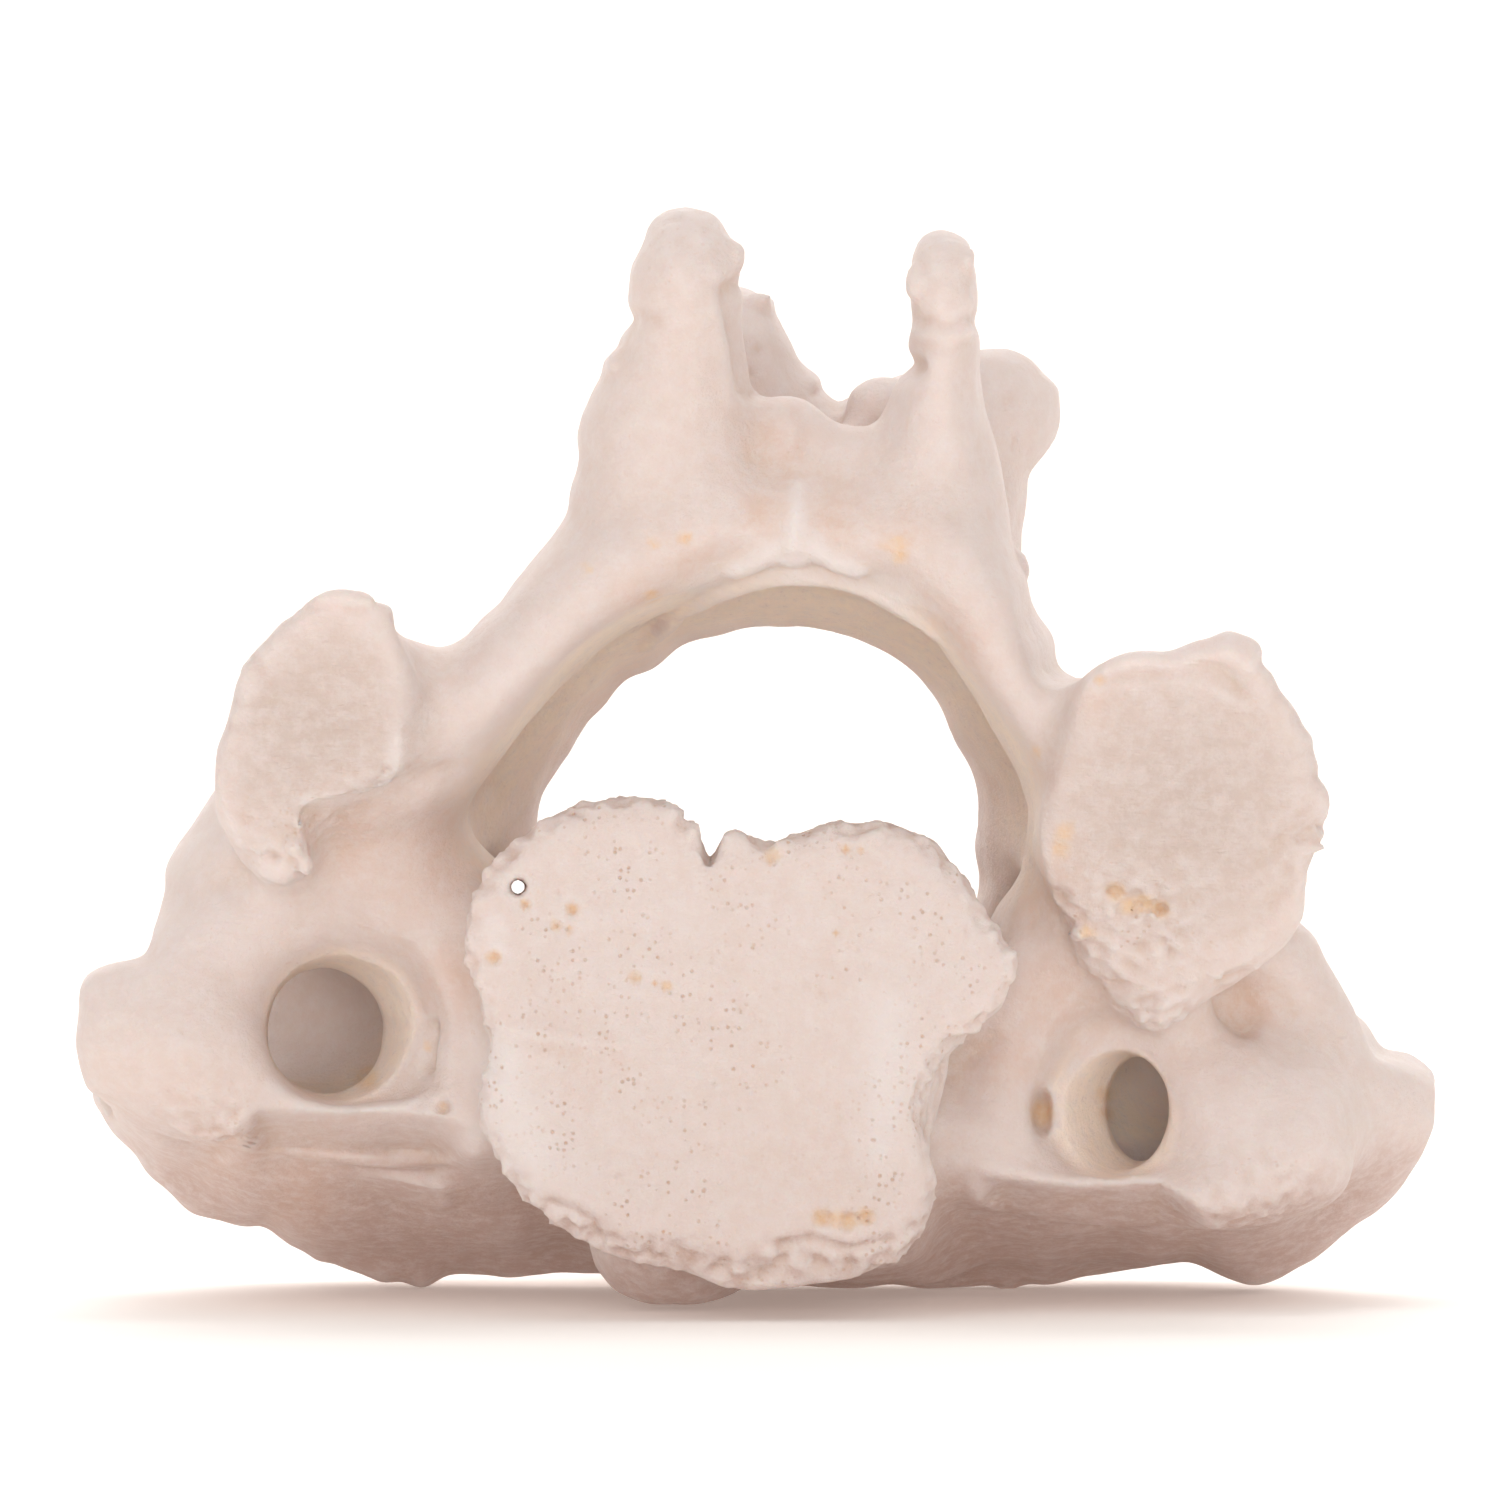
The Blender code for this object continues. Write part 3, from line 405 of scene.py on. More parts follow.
def hole_cutters(skin):
    """The bored-out parts: deep canals, vessel holes, slits and the caves in the worn rims."""
    cuts = [
        strand([seen_at((-9.45, 17.15), -2.0), seen_at((-9.45, 17.15), 28.0),
                seen_at((-9.45, 17.15), 62.0)],
               [0.38, 0.4, 0.42]),
        strand([seen_at((6.7, 18.75), -2.0), seen_at((6.7, 18.75), 6.0)], [0.16, 0.16]),
        pit(skin, (-12.45, 8.4), (0.3, 0.4, 0.22), turn=(0, 30, 0)),
        pit(skin, (11.35, 8.2), (0.5, 1.7, 1.15), 0.2),
        pit(skin, (10.55, 7.75), (0.1, 0.3, 0.35), turn=(0, -10, 0)),
        pit(skin, (14.2, 17.05), (0.5, 0.6, 0.3), 0.1, (0, 25, 0)),
        pit(skin, (14.65, 16.45), (0.38, 0.45, 0.36), 0.1),
        pit(skin, (15.35, 16.45), (0.4, 0.5, 0.42), 0.1),
        pit(skin, (16.05, 16.25), (0.36, 0.45, 0.34), 0.1),
        pit(skin, (13.9, 16.35), (0.3, 0.45, 0.25), 0.05),
        pit(skin, (15.05, 16.95), (0.3, 0.5, 0.2), 0.1),
        pit(skin, (12.25, 19.3), (0.34, 0.4, 0.2), 0.05),
        pit(skin, (12.1, 18.75), (0.26, 0.4, 0.2), 0.05),
        pit(skin, (13.1, 15.35), (0.22, 0.3, 0.16), turn=(0, 25, 0)),
        pit(skin, (2.7, 3.95), (0.6, 0.34, 0.34), 0.0),
        pit(skin, (3.6, 3.85), (0.45, 0.36, 0.42), 0.0),
        pit(skin, (4.35, 4), (0.5, 0.34, 0.3), 0.0),
        pit(skin, (-10.4, 14.35), (0.25, 0.3, 0.22)),
        pit(skin, (-9.2, 16.45), (0.2, 0.25, 0.18)),
        pit(skin, (-7.3, 16.25), (0.18, 0.25, 0.22)),
        pit(skin, (-7.7, 15.5), (0.26, 0.3, 0.14), turn=(0, 20, 0)),
        pit(skin, (-4.8, 13.55), (0.26, 0.25, 0.18)),
        pit(skin, (-3.55, 13.2), (0.24, 0.25, 0.14), turn=(0, 25, 0)),
        pit(skin, (3.55, 18.65), (0.2, 0.25, 0.13)),
        pit(skin, (4.15, 18.6), (0.16, 0.2, 0.13)),
        pit(skin, (0.6, 18.3), (0.3, 0.35, 0.4)),
        pit(skin, (-2.8, 31), (0.22, 0.35, 0.26)),
        pit(skin, (-4.1, 30.9), (0.2, 0.3, 0.18)),
        pit(skin, (-4.15, 28.7), (0.24, 0.3, 0.24)),
        pit(skin, (6.95, 28.4), (0.11, 0.3, 0.11)),
        pit(skin, (-14.4, 12.4), (0.14, 0.3, 0.2)),
        pit(skin, (-14.4, 11.6), (0.12, 0.3, 0.2)),
        pit(skin, (13.3, 8.85), (0.12, 0.3, 0.18)),
        pit(skin, (12.3, 8.15), (0.14, 0.3, 0.14)),
        pit(skin, (13.6, 6.7), (0.2, 0.3, 0.14), turn=(0, 30, 0)),
        pit(skin, (12.6, 7.15), (0.12, 0.3, 0.18), turn=(0, -20, 0)),
        pit(skin, (5.7, 30.25), (0.22, 0.25, 0.2)),
    ]
    return cuts


class Clay:
    """The skin's vertices while they are worked, in millimetres in the bone's frame."""

    def __init__(self, skin):
        self.skin = skin
        self.read()

    def read(self):
        mesh = self.skin.data
        flat = np.empty(len(mesh.vertices) * 3, np.float32)
        mesh.vertices.foreach_get("co", flat)
        self.places = flat.reshape(-1, 3) / MM - np.array(BONE_TO_ROW, np.float32)
        mesh.vertex_normals.foreach_get("vector", flat)
        self.normals = flat.reshape(-1, 3).copy()
        x, y, z = self.places.T
        spread = VIEW_DISTANCE / (VIEW_DISTANCE + y)
        self.spots = np.stack([x * spread, VIEW_HEIGHT + (z - VIEW_HEIGHT) * spread], 1)
        self.facing = np.clip(-self.normals[:, 1] * 4.0, 0.0, 1.0)

    def write(self):
        mesh = self.skin.data
        flat = ((self.places + np.array(BONE_TO_ROW, np.float32)) * MM).astype(np.float32).ravel()
        mesh.vertices.foreach_set("co", flat)
        mesh.update()
        self.read()

    def near(self, path, reach, depths, turned=False):
        """The vertices near a path of spots, and how far each is from it."""
        path = np.array(path, np.float32).reshape(-1, 2)
        low, high = path.min(0) - reach, path.max(0) + reach
        inside = (self.spots > low).all(1) & (self.spots < high).all(1)
        inside &= (self.places[:, 1] > depths[0]) & (self.places[:, 1] < depths[1])
        chosen = np.nonzero(inside if turned else inside & (self.facing > 0))[0]
        away = np.full(len(chosen), 1e9, np.float32)
        points = self.spots[chosen]
        for a, b in zip(path, path[1:] if len(path) > 1 else path):
            along = b - a
            part = np.clip((points - a) @ along / max(float(along @ along), 1e-9), 0, 1)
            away = np.minimum(away, np.linalg.norm(points - a - part[:, None] * along, axis=1))
        return chosen, away

    def line(self, path, width, height, depths=(-6, 9)):
        """Raises a soft ridge along a path of spots, or with a negative height presses a groove."""
        chosen, away = self.near(path, width * 2.5, depths)
        amount = height * np.exp(-((away / width) ** 2)) * self.facing[chosen]
        self.places[chosen] += self.normals[chosen] * amount[:, None]

    def push(self, path, width, shift, depths=(-6, 9)):
        """Moves what shows near a path of spots by a shift in millimetres, whichever way it faces."""
        chosen, away = self.near(path, width * 2.5, depths, turned=True)
        share = np.exp(-((away / width) ** 2))
        self.places[chosen] += share[:, None] * np.array(shift, np.float32)

    def undercut(self, path, drop, slope, near, far):
        """Leans what lies up to a drop below a path back, so that it becomes a bar's underside."""
        path = np.array(path, np.float32)
        x, z = self.spots.T
        y = self.places[:, 1]
        line = np.interp(x, path[:, 0], path[:, 1])
        ends = np.clip(np.minimum((x - path[0, 0]) / 1.4, (path[-1, 0] - x) / 2.2), 0, 1)
        share = ends * ends * (3 - 2 * ends) * (y > near - 2.5)
        share = share * np.clip(z - (line - drop - 2.5), 0, 1)
        room = np.clip((far - y) / (far - near), 0, 1)
        self.places[:, 1] += np.clip(line - z, 0, drop) * slope * share * room

    def soften_around(self, spot, size, rounds):
        """Evens out a collar around an oval hole and leaves the hole's own edge sharp."""
        away = np.hypot(*((self.spots - np.array(spot, np.float32)) / size).T)
        weight = rising(away, 1.02, 0.07) * rising(away, 1.38, -0.2)
        weight = weight * (self.places[:, 1] < 12) * (self.places[:, 1] > 2.5)
        edges = edges_of(self.skin.data)
        for _ in range(rounds):
            mean = neighbour_mean(self.places, edges, len(self.places), 1)
            self.places += ((mean - self.places) * weight[:, None]).astype(np.float32)

    def dent(self, spot, width, depth, depths=(-6, 9)):
        """Presses one soft round hollow."""
        self.line([spot], width, -depth, depths)

    def roughen(self, weight, size, height, seed):
        """Random bumps about size apart, as high as height where weight is 1."""
        bumps = mottle(self.places, size, seed)
        self.places += self.normals * (bumps * height * weight)[:, None]


WAVES = 26


def mottle(places, size, seed):
    """Smooth random values around zero that swing over about size millimetres."""
    dice = np.random.default_rng(seed)
    aims = dice.normal(size=(WAVES, 3))
    aims /= np.linalg.norm(aims, axis=1)[:, None]
    lengths = size * dice.uniform(0.7, 1.5, WAVES)
    turns = (aims * (2 * math.pi / lengths)[:, None]).astype(np.float32)
    starts = dice.uniform(0, 2 * math.pi, WAVES).astype(np.float32)
    return np.cos(places @ turns.T + starts).sum(1) * math.sqrt(0.5 / WAVES)


def rising(values, start, length):
    """0 up to the start and 1 from a length past it; a negative length gives the reverse."""
    return np.clip((values - start) / length, 0, 1)


def closeness(places, centre, radius):
    """1 at a centre, falling softly to 0 at the radius and beyond."""
    away = np.linalg.norm(places - np.array(centre, np.float32), axis=1) / radius
    return np.clip(1 - away, 0, 1) ** 0.5


# Each touch is a spot, its shift across and up, and how far the shift reaches.
OUTLINE_TOUCHES = [
    ((-0.85, 42.65), (0.08, 0.05), 0.6), ((-0.85, 41.1), (-0.3, 0.0), 0.3),
    ((-4.7, 42.65), (0.15, -0.05), 0.7),
    ((-5.3, 39.6), (0.45, 0.0), 0.5), ((-6.2, 37.35), (0.2, 0.0), 0.5),
    ((-7.05, 34.05), (0.26, 0.0), 0.9),
    ((-7.7, 31.95), (0.1, -0.05), 0.8), ((-10.15, 28.35), (0.1, -0.1), 0.8),
    ((-13.35, 26.9), (0.0, 0.42), 0.8),
    ((-14.7, 28.15), (0.38, 0.3), 0.6), ((-22.4, 19.75), (0.12, -0.12), 0.8),
    ((-23.3, 17.9), (-0.25, 0.0), 0.7),
    ((-24.5, 14.7), (0.3, -0.35), 0.8), ((-26.4, 13.25), (-0.3, 0.25), 1.0),
    ((-26.4, 8.9), (-0.3, -0.12), 0.8),
    ((-24.85, 6.5), (0.15, 0.12), 0.8), ((-22.3, 4.3), (-0.1, -0.28), 0.9),
    ((-19.5, 3.35), (0.0, 0.4), 0.8),
    ((-17.4, 2.5), (0.0, -0.15), 0.5), ((-14.75, 1.55), (0.0, -0.2), 0.7),
    ((-13.25, 1.45), (0.0, -0.6), 0.7), ((-9.75, 1.75), (0.0, -0.2), 1.2),
    ((-3.2, 0.6), (0.0, 0.16), 1.4), ((5.3, 1.3), (0.0, 0.2), 0.9), ((10.1, 1.3), (0.0, -0.25), 0.6),
    ((11.7, 1.45), (0.0, -0.32), 1.1), ((17.25, 2.1), (0.0, 0.4), 1.0),
    ((19.85, 1.55), (0.0, -0.28), 1.0),
    ((26.6, 9.5), (0.35, 0.1), 0.8), ((25.2, 11.3), (-0.3, -0.6), 0.9),
    ((22.1, 15.05), (0.1, 0.1), 0.7),
    ((22.25, 19.25), (0.25, 0.0), 0.25), ((22.4, 21.5), (-0.2, 0.0), 0.35),
    ((21.85, 23), (0.15, 0.05), 0.4),
    ((20.35, 26.1), (-0.22, -0.05), 0.4), ((16.45, 26.55), (0.0, -0.3), 1.0),
    ((18.1, 27.1), (0.0, -0.18), 0.6), ((12.15, 26.1), (-0.62, -0.4), 1.0),
    ((11.3, 27.85), (-0.3, -0.1), 0.9), ((10.8, 33.65), (-0.14, 0.0), 0.7),
    ((11.55, 37.7), (-0.15, -0.15), 0.6), ((8.8, 39.6), (-0.15, 0.0), 0.4),
    ((8.4, 42.85), (0.24, 0.12), 0.5),
    ((6.1, 40.45), (-0.08, 0.0), 0.5), ((6.1, 37.85), (0.7, 0.0), 0.5),
    ((3.25, 36.4), (0.0, -0.25), 0.35),
    ((2.25, 37.3), (0.25, 0.1), 0.5), ((0.6, 40.35), (0.15, 0.22), 0.3),
    ((-1.85, 18.95), (0.0, -0.75), 0.34),
    ((-0.8, 19.15), (0.0, 0.14), 0.5), ((-2.7, 20.1), (-0.15, -0.15), 0.35),
    ((7.1, 18.8), (0.14, 0.24), 0.7),
    ((-5.7, 38.7), (0.26, -0.1), 0.5), ((12.15, 36.3), (-0.14, 0.0), 0.7),
    ((4.05, 19.7), (0.0, -0.12), 0.6),
    ((0.55, 18.95), (0.0, 0.16), 0.4), ((10.9, 29.55), (0.14, 0.0), 0.5),
    ((22.35, 20.4), (0.2, 0.0), 0.4),
    ((25.2, 4.7), (0.12, -0.12), 1.0), ((-21.2, 22.8), (-0.12, 0.0), 0.9),
    ((-18.7, 27.55), (-0.1, 0.12), 0.8),

]
CANAL_TOUCHES = [
    ((-7.3, 22.65), (0.32, -0.2), 1.1), ((-6.2, 24.4), (0.28, -0.28), 1.3),
    ((-4.15, 26.1), (0.34, -0.5), 1.2),
    ((-1.45, 27.1), (0.05, -0.34), 1.2), ((0.95, 27.6), (0.0, -0.28), 1.2),
    ((2.95, 27.35), (0.0, -0.15), 1.0),
    ((8.05, 23.2), (-0.3, -0.05), 1.1), ((9, 19), (-0.5, 0.0), 1.3),
]


def work_outline(clay):
    """Small shifts that bring the outline seen from the front to its notches and bumps."""
    for spot, (right, up), width in OUTLINE_TOUCHES:
        clay.push([spot], width, (right, 0, up), (-6, 60))
    for spot, (right, up), width in CANAL_TOUCHES:
        clay.push([spot], width, (right, 0, up), (9, 60))


def work_left_face(clay):
    clay.line([(-17.8, 28.25), (-16.75, 28.3), (-15.6, 28.05)], 0.22, -0.16)
    clay.line([(-20.1, 26.35), (-19.65, 25.85), (-19.3, 24.95)], 0.3, -0.12)
    clay.line([(-20.6, 24.5), (-19.85, 24.35), (-18.9, 24.6)], 0.25, -0.1)
    clay.line([(-20.95, 23.5), (-20.2, 23.4), (-19.25, 23.6)], 0.25, -0.1)
    clay.line([(-20.25, 25.85), (-20.05, 24.95), (-20.25, 24.6)], 0.3, 0.12)
    clay.line([(-14.55, 26.95), (-14.4, 25.35), (-14.3, 23.8)], 0.5, 0.12)
    clay.dent((-14.7, 21.75), 0.22, 0.2)
    clay.dent((-19.05, 18.3), 0.2, 0.2)
    clay.line([(-17.9, 19.9), (-16.75, 20.35), (-15.35, 20.8), (-13.75, 21.3), (-12.15, 21.7)], 0.5,
              -0.35)


def work_right_face(clay):
    clay.line([(14.05, 25.45), (15.65, 25.7), (17.25, 25.75), (18.25, 25.55), (19.05, 24.95)], 0.3,
              -0.1)
    clay.line([(17.65, 26.1), (18.65, 25.7), (19.4, 24.8)], 0.2, -0.12)
    clay.line([(12.5, 20.6), (13.65, 20.1), (15.65, 20.35)], 0.4, -0.06)
    clay.line([(14.45, 18.7), (16.05, 18.4), (17.25, 18.6)], 0.3, -0.07)
    clay.line([(15.25, 24.95), (16.65, 25.55), (18.25, 24.95), (19.25, 24.4)], 0.4, 0.1)
    clay.dent((13.65, 25.45), 0.25, 0.2)
    clay.line([(20.1, 24.6), (21.2, 22.2), (21.6, 20.6)], 0.6, 0.1)
    clay.line([(21.6, 20), (21, 19.1), (20.1, 18.15)], 0.35, -0.16)
    clay.line([(22.35, 19.5), (21.6, 19.1)], 0.3, -0.3)
    clay.line([(21.3, 17.5), (20.1, 15.9), (18.9, 15.05)], 0.35, -0.16)
    clay.line([(14.85, 17.25), (16.45, 17.2), (18.25, 17.4)], 0.3, 0.1)
    clay.line([(16.2, 15.1), (16.5, 14.45)], 0.12, -0.18)
    clay.dent((14.15, 13.25), 0.5, 0.35)
    clay.dent((15.25, 12.35), 0.3, 0.25)
    clay.line([(12.3, 15.25), (12.1, 16.65)], 0.3, -0.1)


# Each pit is a spot and its size.
PLATE_PITS = [
    ((-10.4, 14.35), 0.26), ((-9.2, 16.45), 0.2), ((-7.3, 16.25), 0.22), ((-7.95, 15.6), 0.18),
    ((-7.4, 15.45), 0.14),
    ((-4.8, 13.55), 0.24), ((-4, 13.35), 0.14), ((-3.55, 13.2), 0.2), ((3.55, 18.65), 0.18),
    ((4.15, 18.6), 0.15),
    ((3.2, 15.3), 0.14), ((8.4, 15.4), 0.15), ((0.85, 13.05), 0.12), ((-2.35, 15.45), 0.12),
    ((2.55, 12.85), 0.13),
    ((1.95, 13.25), 0.12), ((-0.65, 12.25), 0.12), ((-2.35, 11.05), 0.14), ((-1.65, 9.3), 0.12),
    ((-2.35, 3.15), 0.12),
    ((10, 14.1), 0.12), ((-5.4, 5.7), 0.12), ((3.75, 2.8), 0.13), ((-7.8, 16.85), 0.12),
    ((-6.8, 15.05), 0.1),
]


def work_plate(clay):
    clay.push([(-1.85, 18.4), (-1.85, 18.75), (-1.9, 19.4)], 0.26, (0, 0, -0.5), (-1, 2.5))
    clay.push([(0.35, 19.1), (0.7, 19.1)], 0.3, (0, 0, -0.35), (-1, 2.5))
    clay.line([(-10.55, 11.7), (-9, 11.3), (-7.2, 11), (-5.4, 10.85)], 0.22, 0.07)
    clay.line([(-10.65, 11.3), (-9, 10.85), (-7, 10.55)], 0.3, -0.06)
    clay.line([(-8.25, 4.6), (-7.2, 4.25), (-6.5, 3.75), (-6.1, 2.95)], 0.22, -0.25)
    clay.line([(1.15, 2.9), (2.25, 3.1), (3.75, 2.7), (5.3, 3.1)], 0.25, -0.22)
    clay.line([(-1.85, 18.3), (-1.65, 17.2), (-1.05, 16.45)], 0.35, -0.08)
    clay.line([(9.3, 11.05), (7.7, 9.95), (7.1, 8.7)], 0.5, -0.2)
    for spot, size in PLATE_PITS:
        clay.dent(spot, size, size * 0.9)
    clay.dent((-1.45, 9.1), 4.0, 0.12)
    clay.line([(-10.95, 16.65), (-11.2, 14.25), (-10.55, 12.25)], 0.5, 0.1)


def work_spines(clay):
    clay.dent((0.15, 32.05), 1.3, 0.45)
    clay.dent((3.1, 31.95), 1.3, 0.45)
    clay.line([(-4.9, 40), (-4, 39.75)], 0.35, -0.15)
    clay.line([(-5.9, 38.7), (-5.2, 39.1)], 0.35, -0.15)
    clay.line([(-5.7, 35.2), (-4.6, 35.7), (-3.35, 35.3)], 0.4, 0.08)
    clay.line([(6.45, 39.75), (7.5, 39.45), (8.65, 39.75)], 0.3, -0.14)
    clay.line([(6.35, 38.7), (7.3, 38.4), (8.5, 38.7)], 0.25, -0.12)
    clay.line([(6.3, 39.2), (7.5, 38.95), (8.6, 39.2)], 0.25, 0.08)
    clay.line([(8.2, 38), (8.35, 35.7), (9.1, 33.7)], 0.5, -0.14)
    clay.line([(-3, 42.85), (-2.25, 42.15)], 0.4, -0.1)
    clay.line([(-1.1, 40.65), (-0.7, 38.9), (-0.3, 36.95)], 0.45, -0.42, (-3, 8))
    clay.line([(-1.45, 40.45), (-1.25, 38.5), (-1.05, 36.5)], 0.3, 0.14, (-3, 8))
    clay.line([(1.65, 36), (2, 35.55), (1.75, 34.65)], 0.35, -0.2)
    clay.dent((10.1, 36.5), 0.4, 0.15, (4, 20))
    clay.dent((0.15, 38.5), 0.25, 0.18, (5, 20))
    clay.dent((-0.15, 37.6), 0.2, 0.15, (5, 20))
    clay.dent((2.25, 36.8), 0.2, 0.15, (5, 20))
    clay.line([(10.3, 35.05), (10.25, 34.55)], 0.15, -0.12, (4, 20))


def work_bars(clay):
    clay.soften_around((-16.4, 11.6), (3.1, 3.0), 12)
    clay.soften_around((13.95, 8.2), (2.5, 2.65), 10)
    left = [(-20.8, 7.5), (-19.85, 8.35), (-18.1, 8.3), (-16.35, 8.2), (-14.15, 8.3), (-12.55, 8.05),
            (-10.9, 7.65)]
    clay.undercut(left, 1.65, 3.0, 5.5, 12.5)
    right = [(8.7, 5.8), (11.3, 5.4), (13.65, 5.35), (16.05, 5.4), (17.25, 4.7), (18.65, 3.45)]
    clay.undercut(right, 1.7, 2.8, 7.0, 14.5)
    rear = [(-19.65, 6.6), (-17.7, 6.3), (-15.75, 6), (-14.15, 5.4), (-12.55, 4.8)]
    clay.push(rear, 0.6, (0, -1.0, 0), (8, 20))
    clay.push([(9.7, 4.05), (11.7, 3.85), (14.05, 3.7), (16.25, 3.75)], 0.5, (0, -0.9, 0), (9, 24))
    clay.line([(-25.85, 8.5), (-24.5, 7.55), (-23.05, 7), (-21.6, 6.6), (-20.6, 7)], 0.35, -0.3,
              (4, 20))
    clay.line([(-13.1, 11.55), (-13.05, 10.75), (-13.05, 9.95)], 0.2, -0.5, (0, 14))
    clay.dent((-12.45, 8.4), 0.25, 0.35, (0, 14))
    clay.dent((19.45, 12.5), 1.0, 1.0, (4, 14))
    clay.line([(18.5, 13.25), (18.9, 12.25), (19.65, 11.7)], 0.3, -0.25, (4, 14))
    clay.line([(20.5, 13.25), (21.4, 12.25)], 0.4, -0.15, (4, 14))
    clay.dent((-22.75, 11.4), 0.12, 0.12)
    clay.dent((-18.1, 15.65), 0.12, 0.1)
    clay.line([(-22.5, 16.65), (-20.7, 17.8), (-19.65, 18.6)], 0.9, -0.15, (2, 12))
    clay.line([(-24.1, 14.05), (-21.5, 15.65), (-18.5, 17.2), (-16.35, 17.4)], 1.2, 0.22, (2, 14))
    clay.line([(-14.15, 14.25), (-13.25, 13.05), (-12.95, 11.85)], 0.8, -0.3, (3, 14))


def margin_weight(clay):
    """1 along the lip of the end plate and 0 well away from it."""
    closed = PLATE_MARGIN + PLATE_MARGIN[:1]
    chosen, away = clay.near(closed, 1.2, (-1.0, 2.5))
    weight = np.zeros(len(clay.places), np.float32)
    weight[chosen] = np.exp(-((away / 0.5) ** 2))
    return weight


# Each is a place, how far round it the bone is worn, and how much.
WORN_PLACES = [
    ((-18.6, 1.5, 19.5), 3.2, 0.8), ((-15.0, 0.6, 21.3), 2.2, 0.6), ((14.6, 3.0, 15.0), 4.0, 1.35),
    ((16.3, 5.2, 12.0), 2.5, 1.5), ((21.9, 1.5, 18.5), 2.5, 0.7), ((-22.0, 5.8, 7.3), 2.8, 1.0),
    ((20.2, 7.0, 4.3), 3.0, 0.9), ((-2.2, 0.0, 42.8), 3.0, 0.5), ((7.5, 0.0, 41.5), 2.5, 0.5),
]


def worn_weight(clay):
    """How crumbled the bone is: most at the torn rims, the bar crests and the spine tips."""
    weight = np.zeros(len(clay.places), np.float32)
    for centre, radius, strength in WORN_PLACES:
        weight = np.maximum(weight, closeness(clay.places, centre, radius) * strength)
    return weight


def worked_by_hand(skin):
    """Lips, grooves, dents and worn texture pressed into the fine skin."""
    clay = Clay(skin)
    work_bars(clay)
    clay.write()
    work_outline(clay)
    work_left_face(clay)
    work_right_face(clay)
    work_plate(clay)
    work_spines(clay)
    clay.write()
    margin = margin_weight(clay)
    clay.roughen(margin, 0.9, 0.15, 11)
    clay.roughen(margin, 0.5, 0.09, 21)
    worn = worn_weight(clay)
    clay.roughen(worn, 0.9, 0.1, 12)
    clay.roughen(worn, 0.5, 0.06, 13)
    everywhere = np.ones(len(clay.places), np.float32)
    clay.roughen(everywhere, 3.2, 0.05, 14)
    clay.roughen(everywhere, 1.2, 0.014, 15)
    clay.write()


def linear(hex_colour):
    """An sRGB hex colour as linear RGBA."""
    parts = [int(hex_colour[i : i + 2], 16) / 255 for i in (1, 3, 5)]
    return [p / 12.92 if p <= 0.04045 else ((p + 0.055) / 1.055) ** 2.4 for p in parts] + [1.0]


def add_node(tree, kind, settings=None, inputs=None):
    """Adds one shader node; an input is given a plain value or linked to another node's output."""
    node = tree.nodes.new(kind)
    for name, value in (settings or {}).items():
        setattr(node, name, value)
    for name, value in (inputs or {}).items():
        socket = node.inputs[name]
        if isinstance(value, bpy.types.NodeSocket):
            tree.links.new(value, socket)
        else:
            socket.default_value = value
    return node


def new_material(name):
    """An empty material and its node tree."""
    material = bpy.data.materials.new(name)
    material.use_nodes = True
    tree = material.node_tree
    tree.nodes.clear()
    return material, tree


def edges_of(mesh):
    """The two vertices of every edge."""
    edges = np.empty(len(mesh.edges) * 2, np.int64)
    mesh.edges.foreach_get("vertices", edges)
    return edges.reshape(-1, 2)


def neighbour_mean(values, edges, count, rounds):
    """Values averaged with their neighbours' along the mesh edges, several times."""
    ends = np.concatenate([edges, edges[:, ::-1]])
    share = np.maximum(np.bincount(ends[:, 0], minlength=count), 1)
    for _ in range(rounds):
        columns = [np.bincount(ends[:, 0], v[ends[:, 1]], count) / share for v in values.T]
        values = np.stack(columns, 1)
    return values


def keep_attribute(mesh, name, values):
    """Keeps one value between 0 and 1 for each vertex, for the finish to read."""
    layer = mesh.attributes.new(name, "FLOAT", "POINT")
    layer.data.foreach_set("value", np.clip(values, 0, 1).astype(np.float32))


def bore_wall(clay, path, radius):
    """1 on walls that face a path of places from within a radius, and 0 on all else."""
    away = np.full(len(clay.places), 1e9)
    inward = np.zeros(len(clay.places))
    for a, b in zip(path, path[1:]):
        a, b = np.array(a, float), np.array(b, float)
        along = b - a
        part = np.clip((clay.places - a) @ along / (along @ along), 0, 1)
        out = clay.places - a - part[:, None] * along
        length = np.linalg.norm(out, axis=1)
        nearer = length < away
        away[nearer] = length[nearer]
        inward[nearer] = -(clay.normals * out).sum(1)[nearer] / np.maximum(length[nearer], 0.01)
    return rising(away, radius * 1.25, radius * -0.2) * rising(inward, 0.45, 0.25)


FULL_RELIEF = 0.1
LEFT_FACE = (-17.6, -0.8, 23.6)
RIGHT_FACE = (17.2, 0.4, 20.6)
CANAL_LINE = [(0.2, 0, 18.8), (0.1, 15, 18.4), (0.1, 34, 18.2), (0.2, 50, 19.5)]
LEFT_ARTERY_LINE = [(-16.8, 6.5, 11.4), (-16.9, 17.8, 11.4), (-21.6, 23.2, 11.8), (-28, 27, 12.2)]
RIGHT_ARTERY_LINE = [(14.6, 7.5, 8.0), (16.2, 17, 9.2), (20.6, 22.4, 10.8), (27, 27, 11.8)]


def tint_along(clay, paths, fall, depths):
    """1 along paths of spots, falling to 0 past the width that goes with each."""
    weight = np.zeros(len(clay.places), np.float32)
    for path, width in paths:
        chosen, away = clay.near(path, width * 2.5, depths)
        weight[chosen] = np.maximum(weight[chosen], np.exp(-((away / width) ** fall)))
    return weight


